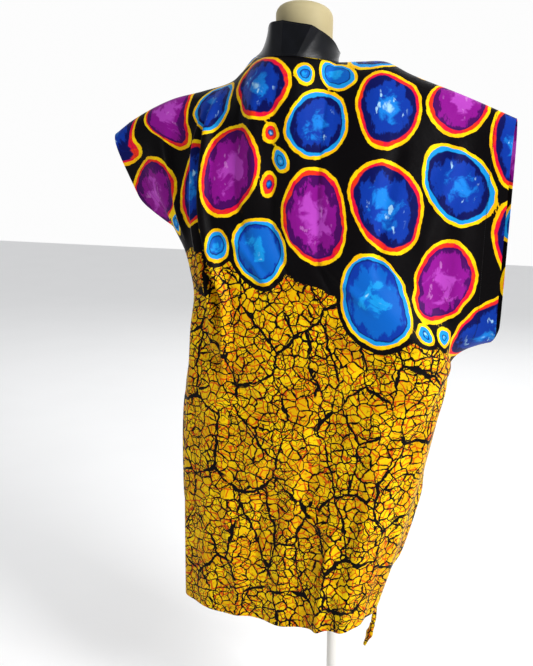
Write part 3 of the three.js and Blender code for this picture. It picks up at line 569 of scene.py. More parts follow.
def tube_row(side, turn, down):
    """Points of the hanging tube at one level; turn 0 is the middle back, 1 the side seam, 2 the front edge."""
    *corners, low_right, low_middle, low_left = (float(read(TUBE, k, down)) for k in range(1, 12))
    sign = SIDES[side]
    angle = np.pi * np.arange(TUBE_STEPS + 1) / TUBE_STEPS
    p = sign * np.abs(np.sin(angle)) ** (2 / CORNER_POWER)
    c = np.cos(angle)
    q = np.sign(c) * np.abs(c) ** (2 / CORNER_POWER)
    weights = [(1 - p) * (1 + q), (1 + p) * (1 + q), (1 + p) * (1 - q), (1 - p) * (1 - q)]
    x = sum(w * corner for w, corner in zip(weights, corners[0::2])) / 4
    y = sum(w * corner for w, corner in zip(weights, corners[1::2])) / 4
    length = np.concatenate([[0], np.cumsum(np.hypot(np.diff(x), np.diff(y)))])
    seam = np.interp(-SEAM_PLACE[side], -q, length)
    k = np.nonzero(sign * x > FRONT_EDGE)[0][-1]
    front = length[k] + (length[k + 1] - length[k]) * (sign * x[k] - FRONT_EDGE) / (sign * (x[k] - x[k + 1]))
    at = np.where(turn <= 1, seam * turn, seam + (front - seam) * (turn - 1))
    sideways = np.where(turn <= 1, turn ** HEM_RISE[side], 1 - FRONT_RETURN * (turn - 1))
    end = low_right if side == "right" else low_left
    return np.stack([np.interp(at, length, x), np.interp(at, length, y),
                     low_middle + (end - low_middle) * sideways], -1)


def panel_points(side, face, out, turn, down):
    """out, turn and down are arrays of one shape, rows of equal down."""
    points = shoulder_points(side, face, out, down)
    left = ease(-0.35, 0.35, turn if side == "left" else -turn) if face == "back" else float(side == "left")
    starts = TUBE_STARTS["right"] + (TUBE_STARTS["left"] - TUBE_STARTS["right"]) * left * np.ones_like(out)
    for j in range(down.shape[0]):
        w = ease(0, 1, (down[j] - starts[j]) / (TUBE_FULL - starts[j]))[:, None]
        if w.max() > 0:
            points[j] += (tube_row(side, turn[j], down[j, 0]) - points[j]) * w
    return points


def back_points(across, down):
    """The back; across runs from -1 at the right seam to 1 at the left one."""
    share = np.minimum(np.abs(across), 1)
    out = share * half_width(down)
    right = panel_points("right", "back", out, share, down)
    left = panel_points("left", "back", out, share, down)
    return np.where((across < 0)[..., None], right, left)


def front_points(side, across, down):
    """One front; across runs from 0 at the side seam to 1 at the front edge."""
    out = half_width(down) + (neck_edge(down) - half_width(down)) * across
    return panel_points(side, "front", out, 1 + across, down)


def grid_normals(points):
    """The way out of the cloth at each point."""
    along, down = np.empty_like(points), np.empty_like(points)
    along[:, 1:-1] = points[:, 2:] - points[:, :-2]
    along[:, 0], along[:, -1] = points[:, 1] - points[:, 0], points[:, -1] - points[:, -2]
    down[1:-1] = points[2:] - points[:-2]
    down[0], down[-1] = points[1] - points[0], points[-1] - points[-2]
    normals = np.cross(down, along)
    return normals / (np.linalg.norm(normals, axis=-1, keepdims=True) + 1e-12)


def fold_height(folds, across, down):
    """Long folds that run down the cloth."""
    height = np.zeros(across.shape)
    for place, width, tall, first, last in folds:
        spread = np.exp(-((across - place) / width) ** 2)
        height += tall * spread * ease(first, first + FOLD_RISE, down) * (1 - ease(last - FOLD_FADE, last, down))
    return height


CREASE_BEND, CREASE_FADE = 0.10, 0.25           # how much a crease bows, share of its length that fades


def creases(u, v, rows):
    """Soft troughs and ridges from (u0, v0) to (u1, v1), with a width and a height."""
    height = np.zeros(u.shape)
    for u0, v0, u1, v1, width, tall in rows:
        du, dv = u1 - u0, v1 - v0
        size = math.hypot(du, dv)
        t = ((u - u0) * du + (v - v0) * dv) / size ** 2
        off = ((u - u0) * dv - (v - v0) * du) / size
        bend = off + CREASE_BEND * size * (t - 0.5) ** 2
        fade = ease(0, CREASE_FADE, t) * (1 - ease(1 - CREASE_FADE, 1, t))
        height += tall * np.exp(-(bend / width) ** 2) * fade
    return height


OVAL_SIZES = (  # tries, first half width, most, its length at most, gap, rounds of growth
    (320, 0.046, 0.062, 1.42, 0.009, 90), (1600, 0.021, 0.033, 1.40, 0.0085, 50),
    (900, 0.012, 0.021, 1.45, 0.0075, 30),
)
LARGE_OVAL = 0.036
LARGE_KINDS = {0: 1.0, 1: 2.3, 2: 1.05, 3: 2.8}  # rarity of blue, blue in a light ring, violet, and sky blue
SMALL_KINDS = {0: 1.0, 3: 0.6}
NEAR, BESIDE = 0.19, 0.17                       # past the reach of any two ovals, and how far one looks for its like
PRINT_AREA = (0.47, -0.02, 0.60)                # half its width, then from and to, down the cloth
BACK_BORDER, FRONT_BORDER = (0.463, -0.34), (0.455, -0.26)      # height of the print's border, and its slope
BORDER_LEVEL, BORDER_GAP, BORDER_LAP = 0.12, 0.045, 0.45


def oval_reach(oval, direction):
    """An oval's radius towards a direction on the cloth."""
    x, y = math.cos(direction - oval[4]), math.sin(direction - oval[4])
    return 1 / math.hypot(x / oval[2], y / oval[3])


def clear_of(oval, others, gap):
    """Whether an oval keeps the gap to all others."""
    for other in others:
        du, dv = other[0] - oval[0], other[1] - oval[1]
        away = math.hypot(du, dv)
        if away > NEAR:
            continue
        direction = math.atan2(dv, du)
        if oval_reach(oval, direction) + oval_reach(other, direction + math.pi) + gap > away:
            return False
    return True


def lay_ovals(seed):
    """Ovals of three sizes, scattered, then grown until they nearly meet: centre, half axes, turn, kind, phases."""
    rng = random.Random(seed)
    width, low, high = PRINT_AREA
    ovals = []
    for tries, size, most, long, gap, rounds in OVAL_SIZES:
        fresh = []
        for _ in range(tries):
            oval = [rng.uniform(-width, width), rng.uniform(low, high), size, size * rng.uniform(1.05, 1.45),
                    rng.uniform(-0.7, 0.7)]
            if clear_of(oval, ovals + fresh, gap):
                fresh.append(oval)
        for step in range(rounds):
            for oval in fresh:
                rest = [o for o in ovals + fresh
                        if o is not oval and abs(o[0] - oval[0]) + abs(o[1] - oval[1]) < 0.25]
                jump = 0.010 * (1 - step / rounds)
                trial = [oval[0] + rng.uniform(-jump, jump), oval[1] + rng.uniform(-jump, jump),
                         min(oval[2] * rng.uniform(1.0, 1.05), most),
                         min(oval[3] * rng.uniform(1.0, 1.06), most * long),
                         oval[4] + rng.uniform(-0.1, 0.1)]
                if 1.02 * trial[2] < trial[3] < 1.55 * trial[2] and clear_of(trial, rest, gap):
                    oval[:] = trial
        ovals += fresh
    painted = []
    for oval in ovals:
        near = [o[5] for o in painted if math.hypot(o[0] - oval[0], o[1] - oval[1]) < BESIDE]
        rarity = LARGE_KINDS if oval[2] > LARGE_OVAL else SMALL_KINDS
        kind = min(rarity, key=lambda k: rarity[k] * (near.count(k) + 0.5 + 0.25 * rng.random()))
        painted.append((*oval, kind, rng.uniform(0, 6.28), rng.uniform(0, 6.28)))
    return painted


def oval_marks(u, v, ovals, border, slope):
    """Per point: distance outside the nearest oval, its relative radius and kind, and how far below the border."""
    best = np.full(u.shape, 9.0)
    radius, kind = np.full(u.shape, 2.0), np.zeros(u.shape)
    for cu, cv, a, b, turn, which, p1, p2 in ovals:
        if cv + BORDER_LAP * b > border + slope * min(cu, BORDER_LEVEL):
            continue
        c, s = math.cos(turn), math.sin(turn)
        x, y = (u - cu) * c + (v - cv) * s, -(u - cu) * s + (v - cv) * c
        angle = np.arctan2(y / b, x / a)
        wobble = 1 + 0.040 * np.sin(2 * angle + p1) + 0.036 * np.sin(3 * angle + p2) \
            + 0.014 * np.sin(5 * angle + p1 + p2)
        r = np.hypot(x / a, y / b) / wobble
        distance = (r - 1) * 0.5 * (a + b)
        near = distance < best
        best, radius = np.where(near, distance, best), np.where(near, r, radius)
        kind = np.where(near, which, kind)
    return {"oval_distance": best, "oval_radius": radius, "oval_kind": kind,
            "border": v - border - slope * np.minimum(u, BORDER_LEVEL) + BORDER_GAP}


YOKE = 0.036                                    # cloth between the neck's edge and the top of the shoulder
STRIDES = ((12, 500), (6, 300), (3, 120))       # every so many threads, and how often they are eased
EASING = 0.12


def round_body(points, start):
    """How far each point is from the column start, measured level round the body."""
    step = np.hypot(np.diff(points[..., 0], axis=1), np.diff(points[..., 1], axis=1))
    side = np.concatenate([np.zeros((len(points), 1)), np.cumsum(step, axis=1)], 1)
    return side - side[:, start:start + 1]


def lay_flat(points, folded, down, start):
    """Where each point lies on the cloth laid flat: round and down, then eased until the threads keep their length.
    The cloth that the folds take up comes on top."""
    shoulder = down + NECK_HEIGHT - points[:1, :, 2]
    level = shoulder + (NECK_HEIGHT + YOKE - points[..., 2] - shoulder) * ease(0.05, 0.25, down)
    laid = np.stack([round_body(points, start), level], -1)
    rest, most = slice(1, None), slice(None, -1)
    threads = (((rest, slice(None)), (most, slice(None))), ((slice(None), rest), (slice(None), most)),
               ((rest, rest), (most, most)), ((rest, most), (most, rest)))
    for apart, rounds in STRIDES:
        j, i = (np.unique(np.append(np.arange(0, n, apart), n - 1)) for n in laid.shape[:2])
        real, eased = points[np.ix_(j, i)], laid[np.ix_(j, i)]
        lengths = [np.linalg.norm(real[a] - real[b], axis=-1, keepdims=True) for a, b in threads]
        for _ in range(rounds):
            move = np.zeros_like(eased)
            for (a, b), length in zip(threads, lengths):
                gap = eased[a] - eased[b]
                pull = gap * (length / np.maximum(np.linalg.norm(gap, axis=-1, keepdims=True), 1e-6) - 1)
                move[a] += pull
                move[b] -= pull
            eased = eased + EASING * move
        shift = eased - laid[np.ix_(j, i)]
        every_j, every_i = (np.arange(n) for n in laid.shape[:2])
        shift = np.stack([[np.interp(every_i, i, line) for line in shift[..., k]] for k in (0, 1)], -1)
        laid = laid + np.stack([np.array([np.interp(every_j, j, line) for line in shift[..., k].T]).T
                                for k in (0, 1)], -1)
    return laid[..., 0] + round_body(folded, start) - round_body(points, start), laid[..., 1]


OVAL_YELLOW, OVAL_GOLD = rgb(255, 214, 8), rgb(250, 186, 4)
RING_RED, RING_ORANGE = rgb(226, 14, 56), rgb(240, 52, 22)
NAVY, ROYAL, AZURE, ICE = rgb(8, 16, 84), rgb(12, 54, 158), rgb(22, 124, 214), rgb(176, 222, 246)
PLUM, MAGENTA, ORCHID, PINK = rgb(74, 8, 92), rgb(138, 18, 138), rgb(178, 66, 184), rgb(222, 150, 222)
SEA, SKY = rgb(12, 96, 190), rgb(24, 148, 222)


def robe_print():
    """Ringed ovals on black down to a slanting border, and crackle below it."""
    f = Finish("ring_and_crackle_printed_cotton")
    cloth = f.cloth()
    wax = f.place(crackle, Cloth=cloth, Cells=50.0)["Print"]
    shake = f.math("MULTIPLY_ADD", f.noise(cloth, 50.0, 3.0), 0.0068, -0.0034)
    distance = f.math("ADD", f.attribute("oval_distance"), shake)
    radius, kind = f.attribute("oval_radius"), f.attribute("oval_kind")
    border = f.math("MULTIPLY_ADD", f.noise(cloth, 26.0, 2.0), 0.040, -0.020)
    border = f.math("ADD", f.attribute("border"), border)
    # centres: brushed patches, dark at the rim, lighter in the middle, a few pale touches
    brushed = f.add("ShaderNodeVectorMath", 0, {"operation": "MULTIPLY"}, i0=cloth, i1=(2.2, 1.0, 1.0))
    mottle, streak = f.noise(cloth, 34.0, 4.0, 0.58, 0, 0.6), f.noise(brushed, 30.0, 4.0, 0.6)
    rim = f.math("MULTIPLY_ADD", streak, 0.9, f.math("MULTIPLY_ADD", radius, -1.0, 0.27))
    heart = f.math("MULTIPLY_ADD", mottle, 1.5, f.math("MULTIPLY_ADD", radius, -0.85, -0.62))
    touch = f.math("MULTIPLY", f.step(f.noise(brushed, 34.0, 3.0), 0.62, 0.66), f.step(radius, 0.62, 0.46))
    blue = f.over(f.over(NAVY, rim, 0.00, 0.10, ROYAL), heart, -0.20, 0.02, AZURE)
    blue = f.over(blue, heart, 0.10, 0.30, ICE, 0.8)
    blue = f.blend(f.math("MULTIPLY", touch, 0.75), blue, ICE)
    violet = f.over(f.over(PLUM, rim, 0.00, 0.08, MAGENTA), heart, -0.24, -0.06, ORCHID)
    violet = f.blend(f.math("MULTIPLY", touch, 0.35), violet, PINK)
    sky = f.over(f.over(ROYAL, rim, -0.04, 0.06, SEA), heart, -0.20, -0.02, SKY)
    sky = f.over(sky, heart, 0.06, 0.26, ICE, 0.8)
    is_light, is_violet, is_sky = (f.band(kind, k - 0.3, k + 0.3, 0.1) for k in (1.0, 2.0, 3.0))
    centre = f.blend(is_sky, f.blend(is_violet, blue, violet), sky)
    # ring: red, or light blue, with a thin dark line along its inner edge
    ring = f.over(RING_RED, mottle, 0.42, 0.58, RING_ORANGE)
    ring = f.blend(f.math("MAXIMUM", is_light, is_sky), ring, SKY)
    depth = f.math("MULTIPLY", distance, -1.0)
    inner = f.math("MULTIPLY_ADD", f.noise(cloth, 24.0, 2.0), 0.014, 0.0056)
    body = f.blend(f.step(depth, f.math("SUBTRACT", inner, 0.0005), f.math("ADD", inner, 0.0005)), ring, centre)
    line = f.math("MULTIPLY", f.step(depth, f.math("SUBTRACT", inner, 0.0016), inner),
                  f.step(depth, f.math("ADD", inner, 0.0026), inner))
    body = f.blend(f.math("MULTIPLY", line, 0.85), body, NAVY)
    edge = f.over(OVAL_GOLD, mottle, 0.40, 0.60, OVAL_YELLOW)
    oval = f.over(edge, depth, 0.0052, 0.0060, body)
    upper = f.over(DYE_BLACK, depth, -0.0006, 0.0004, oval)
    lower = f.over(wax, depth, -0.0092, -0.0082, upper)
    cotton(f, f.over(upper, border, -0.0006, 0.0006, lower))
    return f.material


def hem_distance(out, down):
    """How far a place is outside the hem's fold line of the cuff or the lower edge; below 0 inside the hem."""
    cuff = np.where(down < CUFF_DROP + 0.01, HALF_CUFF - CUFF_HEM - out, 1.0)
    return np.minimum(cuff, LENGTH - LOWER_HEM - down)


ROWS = levels((0, 0.06, 13), (0.06, 0.50, 81), (0.50, LENGTH, 86))
BACK_COLUMNS, OPEN_SEAM = 201, 0.8 * SEAM_GAP
BACK_CREASES = [  # u0, v0, u1, v1, width, height
    (-0.072, 0.820, -0.104, 1.260, 0.011, 0.0120), (0.072, 0.760, 0.050, 1.260, 0.018, -0.0110),
    (-0.020, 0.640, -0.012, 1.040, 0.016, -0.0086), (0.045, 0.700, 0.060, 0.960, 0.006, -0.0068),
    (-0.120, 0.560, -0.150, 0.900, 0.018, 0.0074), (-0.060, 0.930, -0.200, 1.045, 0.010, 0.0074),
    (0.120, 0.760, 0.075, 1.040, 0.012, 0.0074), (0.000, 0.480, -0.140, 0.560, 0.014, -0.0060),
    (0.180, 0.520, 0.060, 0.640, 0.012, -0.0060), (-0.260, 0.460, -0.100, 0.540, 0.014, 0.0074),
    (-0.300, 0.430, -0.180, 0.700, 0.014, -0.0074), (-0.340, 0.060, -0.260, 0.360, 0.016, 0.0074),
    (-0.230, 0.120, -0.190, 0.420, 0.012, -0.0068), (0.050, 0.060, 0.030, 0.300, 0.014, 0.0060),
    (-0.080, 0.050, -0.100, 0.330, 0.016, 0.0060), (0.300, 0.060, 0.260, 0.330, 0.012, 0.0080),
    (0.250, 0.600, 0.235, 0.940, 0.012, 0.0074), (-0.270, 0.700, -0.285, 1.000, 0.012, 0.0080),
    (0.020, 0.800, -0.100, 0.860, 0.008, 0.0052), (0.130, 0.640, 0.010, 0.700, 0.008, 0.0052),
    (-0.180, 0.620, -0.060, 0.760, 0.008, -0.0052), (0.140, 0.300, 0.040, 0.450, 0.010, 0.0068),
    (-0.050, 0.340, -0.160, 0.450, 0.010, 0.0060),
]

printed = robe_print()
across = np.linspace(1 - OPEN_SEAM / HALF_BODY, -1 + OPEN_SEAM / HALF_BODY, BACK_COLUMNS)
down, place = np.meshgrid(ROWS, across, indexing="ij")
smooth = back_points(place, down)
lift = fold_height(BACK_FOLDS, place, down) + creases(place * half_width(down), down, BACK_CREASES)
surface = smooth + grid_normals(smooth) * lift[..., None]
u, v = lay_flat(smooth, surface, down, BACK_COLUMNS // 2)
u = -u
marks = oval_marks(u, v, lay_ovals(11), *BACK_BORDER)
marks["hem"] = hem_distance(np.abs(place) * half_width(down), down)
robe_back = panel("robe_back_cotton", surface, u, v, CLOTH, printed, marks)
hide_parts("robe_back")
back_cloth = surface

# ---------------------------------------------------------------------------
# Robe fronts. Two pieces of the same cloth, each with the front half of its
# sleeve, sewn to the back along the shoulder and the side. They hang open
# in a narrow gap down the middle.
# ---------------------------------------------------------------------------
FRONT_CREASES = [
    (0.150, 0.080, 0.140, 0.380, 0.016, 0.0045), (0.280, 0.060, 0.230, 0.360, 0.014, -0.0045),
    (0.190, 0.480, 0.200, 0.800, 0.012, 0.0050), (0.250, 0.520, 0.260, 0.960, 0.012, -0.0045),
    (0.140, 0.620, 0.150, 1.020, 0.012, -0.0045),
]
FRONT_COLUMNS, FRONT_START = 88, OPEN_SEAM / (HALF_BODY - FRONT_EDGE)
PRINT_SEEDS = {"right": 5, "left": 23}
front_cloth = {}
for side, sign in SIDES.items():
    across = np.linspace(FRONT_START, 1, FRONT_COLUMNS)
    if side == "left":
        across = across[::-1]
    down, place = np.meshgrid(ROWS, across, indexing="ij")
    smooth = front_points(side, place, down)
    out = half_width(down) + (neck_edge(down) - half_width(down)) * place
    lift = creases(out, down, FRONT_CREASES) * ease(0, 0.15, 1 - place)
    lift = fold_height(FRONT_FOLDS[side], place, down) + lift
    surface = smooth + grid_normals(smooth) * lift[..., None]
    u, v = lay_flat(smooth, surface, down, 0 if side == "left" else FRONT_COLUMNS - 1)
    u = np.abs(u) + FRONT_EDGE
    marks = oval_marks(sign * u, v, lay_ovals(PRINT_SEEDS[side]), *FRONT_BORDER)
    marks["hem"] = hem_distance(out, down)
    piece = panel("robe_front_" + side + "_cotton", surface, sign * u, v, CLOTH, printed, marks)
    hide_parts("robe_front_" + side)
    front_cloth[side] = surface

# ---------------------------------------------------------------------------
# Neckband. A doubled band of black satin-faced cotton. It stands up round
# the back of the neck and turns over to lie flat down both front edges. The
# wearer's right side has one sharp pressed crease.
# ---------------------------------------------------------------------------
BAND_WIDTH, BAND_THICKNESS, BAND_ROWS, BAND_COLUMNS, BAND_TURN = 0.065, 0.0018, 36, 15, 0.070
BAND_TOP = {  # place, then the free edge's x, y and z
    "left": np.array([(0, 0, 0.056, 1.470), (1, 0.027, 0.046, 1.468), (2, 0.047, 0.006, 1.459),
                      (3, 0.056, -0.038, 1.446)]),
    "right": np.array([(0, 0, 0.056, 1.470), (1, 0.050, 0.042, 1.459), (2, 0.076, 0.008, 1.440),
                       (3, 0.077, -0.042, 1.420)]),
}
PRESSED_ROW, PRESSED_SPREAD, PRESSED_DEPTH = 11, 0.115, 0.0085
PRESSED_WAY = np.array((-0.62, 0.78, 0.0))


def along(points):
    """How far each point of a line is from its start."""
    return np.concatenate([[0], np.cumsum(np.linalg.norm(np.diff(points, axis=0), axis=1))])


def band_points(side, across):
    """Rows from the middle of the back, over the shoulder and down the front; across runs from 0 at the seam."""
    sign = SIDES[side]
    rows = []
    for share in np.linspace(0, 1, BAND_ROWS + 1):
        out = np.array([[NECK_HALF * share]])
        sewn = shoulder_points(side, "back", out, np.zeros((1, 1)))[0, 0]
        if share == 0:
            sewn[0] += sign * SEAM_GAP / 2
        if share == 1:
            sewn[1] = -SEAM_GAP / 2
        sewn[2] += 1.6 * SEAM_GAP
        free = np.array([float(read(BAND_TOP[side], k, 3 * share)) for k in (1, 2, 3)])
        free[0] = sign * max(free[0], SEAM_GAP / 2)
        first = (free - sewn) / np.linalg.norm(free - sewn)
        row = sewn + (free - sewn) * across[:, None]
        if side == "right":
            pressed = max(0.0, 1 - abs(share - PRESSED_ROW / BAND_ROWS) / PRESSED_SPREAD)
            row = row + PRESSED_WAY * PRESSED_DEPTH * pressed * (0.15 + 0.85 * across[:, None])
        rows.append(row)
    for row in ROWS[2:]:
        edge, inner = front_points(side, np.array([[1.0, 0.88]]), np.full((1, 2), row))[0]
        flat = (edge - inner) * (1, 1, 0)
        flat = flat / np.linalg.norm(flat) * 0.6 + np.array((-sign, -0.1, 0.0)) * 0.4
        flat /= np.linalg.norm(flat)
        w = math.exp(-row / BAND_TURN)
        flat = flat * (1 - w) + first * w
        flat /= np.linalg.norm(flat)
        sewn = edge + flat * SEAM_GAP * (1.3 + 1.2 * math.exp(-row / 0.030))
        rows.append(sewn + flat * BAND_WIDTH * across[:, None])
    return np.array(rows)


satin = Finish("black_satin_faced_cotton")
cloth = satin.cloth()
satin.set(Base_Color=satin.over(rgb(7, 8, 11), satin.noise(cloth, 40.0, 3.0), 0.3, 0.7, rgb(12, 13, 18)),
          Roughness=satin.math("MULTIPLY_ADD", satin.noise(cloth, 18.0, 2.0), 0.10, 0.25), Specular_IOR_Level=0.20,
          Sheen_Weight=0.06, Sheen_Roughness=0.35, Sheen_Tint=rgb(170, 190, 220))
satin.bump(satin.noise(cloth, 16.0, 3.0), 0.0025, 0.4,
           satin.bump(satin.threads(cloth, "DIAGONAL", 260.0, 0.3), 0.0002, 0.2))

bands = {}
for side in SIDES:
    across = np.linspace(0, 1, BAND_COLUMNS)
    surface = band_points(side, across)
    run = along(surface[:, BAND_COLUMNS // 2])
    if side == "left":
        surface = surface[:, ::-1]
    u, v = np.meshgrid(across * BAND_WIDTH, run)
    piece = panel("neckband_" + side, surface, u, v, BAND_THICKNESS, satin.material,
                  pressed=PRESSED_ROW if side == "right" else None)
    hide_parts("collar_" + side)
    bands[side] = surface

# ---------------------------------------------------------------------------
# Ties. Two narrow turned strips of the crackle cloth, one sewn to each front
# edge at the waist. They twist as they hang and end in a small knot.
# ---------------------------------------------------------------------------
TIE_LENGTH, TIE_WIDTH, TIE_THICKNESS, TIE_TWIST = 0.800, 0.011, 0.006, 2.2
TIE_ROUND, TIE_POINTS = 0.03, 181               # cloth round the strip, points along it
KNOT_START, KNOT_MIDDLE, KNOT_SPREAD = 0.925, 0.962, 0.012
TIE_PATH = {  # down, across, off
    "right": np.array([(0.455, 0.97, 0.0004), (0.480, 0.965, 0.003), (0.540, 0.95, 0.008), (0.700, 0.91, 0.014),
                       (0.880, 0.87, 0.018), (1.050, 0.84, 0.024), (1.120, 0.83, 0.026), (1.175, 0.82, 0.028),
                       (1.212, 0.86, 0.031), (1.262, 0.96, 0.031)]),
    "left": np.array([(0.425, 0.97, 0.0004), (0.450, 0.965, 0.003), (0.520, 0.95, 0.008), (0.690, 0.93, 0.014),
                      (0.880, 0.90, 0.020), (1.050, 0.89, 0.022), (1.250, 0.89, 0.022)]),
}


def tie_route(side):
    """A tie's middle line: sewn on at the edge, then hanging before the front and below the hem."""
    def on_front(across, down):
        return front_points(side, np.array([[across]]), np.array([[down]]))[0, 0]

    points = []
    for down in np.linspace(TIE_PATH[side][0, 0], TIE_PATH[side][-1, 0], 121):
        reach = min(down, LENGTH)
        across = float(read(TIE_PATH[side], 1, down))
        p = on_front(across, reach)
        normal = np.cross(p - on_front(across, reach - 0.008), on_front(across - 0.03, reach) - p)
        normal /= np.linalg.norm(normal)
        if normal[1] > 0:
            normal = -normal
        height = float(fold_height(FRONT_FOLDS[side], np.array([across]), np.array([reach]))[0])
        p = p + normal * (height + float(read(TIE_PATH[side], 2, down)) + TIE_THICKNESS / 2)
        p[2] -= down - reach
        points.append(p)
    points = np.array(points)
    run = along(points)
    even = np.linspace(0, min(TIE_LENGTH, run[-1]), TIE_POINTS)
    return np.stack([np.interp(even, run, points[:, k]) for k in range(3)], -1)


def tube(name, route, sizes, turns, material, steps=14):
    """A closed flat tube along a route; sizes holds each ring's half width and half thickness."""
    count = len(route)
    vertices = []
    for k in range(count):
        tangent = route[min(k + 1, count - 1)] - route[max(k - 1, 0)]
        tangent /= np.linalg.norm(tangent)
        wide = np.array((1.0, 0, 0)) - tangent * tangent[0]
        wide /= np.linalg.norm(wide)
        thick = np.cross(tangent, wide)
        c, s = math.cos(turns[k]), math.sin(turns[k])
        for i in range(steps):
            angle = 2 * math.pi * i / steps
            a, b = math.cos(angle) * sizes[k][0], math.sin(angle) * sizes[k][1]
            vertices.append(route[k] + wide * (a * c - b * s) + thick * (a * s + b * c))
    piece = shown(name, vertices, ring_faces(count, steps), material)
    run = along(route)
    wrapped(piece, steps, lambda k, i: (i / steps * TIE_ROUND, run[k]))
    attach(piece, "root")
    return piece


strip_cotton = crackled("turned_crackle_strip", 60.0, 0.0020)
for side in SIDES:
    route = tie_route(side)
    share = np.linspace(0, 1, len(route))
    turns = 2 * math.pi * TIE_TWIST * share
    pinch = 1 - 0.12 * np.sin(share * 90) ** 2
    strip = tube("tie_" + side + "_cloth", route,
                 [(TIE_WIDTH / 2 * p, TIE_THICKNESS / 2) for p in pinch], turns, strip_cotton)
    end = share > KNOT_START
    bulge = 1.15 + 0.75 * np.exp(-((share[end] - KNOT_MIDDLE) / KNOT_SPREAD) ** 2)
    knot = tube("tie_" + side + "_knot", route[end],
                [(TIE_WIDTH / 2 * g, TIE_THICKNESS / 2 * g) for g in bulge], turns[end], strip_cotton)
    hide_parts("tie_" + side)

# ---------------------------------------------------------------------------
# Stitching. Lockstitch in black thread round the cuffs, the lower hem and
# the neckband, and in ochre thread round the shorts' hems. Every stitch is a
# small loop of thread lying in the cloth.
# ---------------------------------------------------------------------------
STITCH_PROUD, BAND_STITCH_PROUD = 0.00015, 0.00012
CUFF_RUN, CUFF_POINTS, BACK_HEM_POINTS, FRONT_HEM_POINTS = 0.425, 400, 900, 400
BAND_POINTS, BAND_STITCH_COLUMNS = 1200, (0.7, 13.3)
LEG_POINTS, LEG_STITCH_ROW = 700, 121.2


def stitch_rule():
    """Lays small loops of thread at an even pitch along a path, each turned along it and a little uneven."""
    f = Effect("row_of_stitches",
               (("Path", "Geometry", None), ("Pitch", "Float", 0.0034), ("Stitch length", "Float", 0.0027),
                ("Thread", "Float", 0.00055), ("Unevenness", "Float", 0.00012), ("Seed", "Int", 7),
                ("Thread finish", "Material", None)),
               (("Stitches", "Geometry"),), "GeometryNodeTree")
    line = f.add("GeometryNodeMeshToCurve", 0, None, Mesh=f.given["Path"])
    spots = f.add("GeometryNodeResampleCurve", 0, {"mode": "LENGTH"}, Curve=line, Length=f.given["Pitch"])
    loop = f.add("GeometryNodeMeshUVSphere", "Mesh", None, Segments=6, Rings=4, Radius=0.5)
    loop = f.add("GeometryNodeSetShadeSmooth", 0, None, Geometry=loop)
    size = f.add("ShaderNodeCombineXYZ", 0, None, X=f.given["Stitch length"], Y=f.given["Thread"],
                 Z=f.given["Thread"])
    turn = f.add("FunctionNodeAlignRotationToVector", 0, {"axis": "X"}, Vector=f.add("GeometryNodeInputTangent"))
    laid = f.add("GeometryNodeInstanceOnPoints", 0, None, Points=spots, Instance=loop, Rotation=turn, Scale=size)
    shift = f.add("FunctionNodeRandomValue", 0, {"data_type": "FLOAT_VECTOR"},
                  i0=f.math("MULTIPLY", f.given["Unevenness"], -1.0), i1=f.given["Unevenness"], Seed=f.given["Seed"])
    laid = f.add("GeometryNodeTranslateInstances", 0, None, Instances=laid, Translation=shift)
    real = f.add("GeometryNodeRealizeInstances", 0, None, Geometry=laid)
    f.put(f.made, "Stitches", f.add("GeometryNodeSetMaterial", 0, None, Geometry=real,
                                    Material=f.given["Thread finish"]))
    return f.tree


def on_cloth(surface, rows, columns, lift):
    """Points on a grid of cloth at fractions of its rows and columns, just proud of its face."""
    normals = grid_normals(surface)
    j = np.clip(np.floor(rows).astype(int), 0, surface.shape[0] - 2)
    i = np.clip(np.floor(columns).astype(int), 0, surface.shape[1] - 2)
    a, b = (rows - j)[:, None], (columns - i)[:, None]

    def mixed(grid):
        return ((grid[j, i] * (1 - b) + grid[j, i + 1] * b) * (1 - a)
                + (grid[j + 1, i] * (1 - b) + grid[j + 1, i + 1] * b) * a)
    return mixed(surface) + mixed(normals) * lift


def sewn(name, runs, thread, rule, slot, **sizes):
    """Every stitch along the runs of points, as one plain mesh."""
    points = np.concatenate(runs)
    edges, first = [], 0
    for run in runs:
        edges += [(first + k, first + k + 1) for k in range(len(run) - 1)]
        first += len(run)
    mesh = bpy.data.meshes.new(name + "_path")
    mesh.from_pydata(points.tolist(), edges, [])
    path = added(name + "_path", mesh)
    modifier = path.modifiers.new("stitches", "NODES")
    modifier.node_group = rule
    values = {"Thread finish": thread, **sizes}
    for item in rule.interface.items_tree:
        if item.in_out == "INPUT" and item.name in values:
            modifier[item.identifier] = values[item.name]
    graph = bpy.context.evaluated_depsgraph_get()
    plain = bpy.data.meshes.new_from_object(path.evaluated_get(graph), depsgraph=graph)
    path.modifiers.remove(modifier)
    bpy.data.objects.remove(path)
    stitches = added(name, plain)
    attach(stitches, "root")
    return stitches


def thread_finish(name, colour):
    f = Finish(name)
    f.set(Base_Color=colour, Roughness=0.55)
    return f.material


def row_at(down):
    """The row of the robe's grids, with its fraction, at a length down the cloth."""
    return np.interp(down, ROWS, np.arange(len(ROWS)))


def across_all(surface, row, count):
    """A run of stitches across the whole width of a grid of cloth."""
    return on_cloth(surface, np.full(count, row), np.linspace(0, surface.shape[1] - 1, count), STITCH_PROUD)


black_thread = thread_finish("black_thread", rgb(16, 14, 16))
ochre_thread = thread_finish("ochre_thread", rgb(196, 138, 20))
rule = stitch_rule()
drop = np.linspace(0, 1, CUFF_POINTS) * CUFF_RUN
cuff_rows, cuff_fold, hem_row = row_at(drop), HALF_CUFF - CUFF_HEM, row_at(LENGTH - LOWER_HEM)

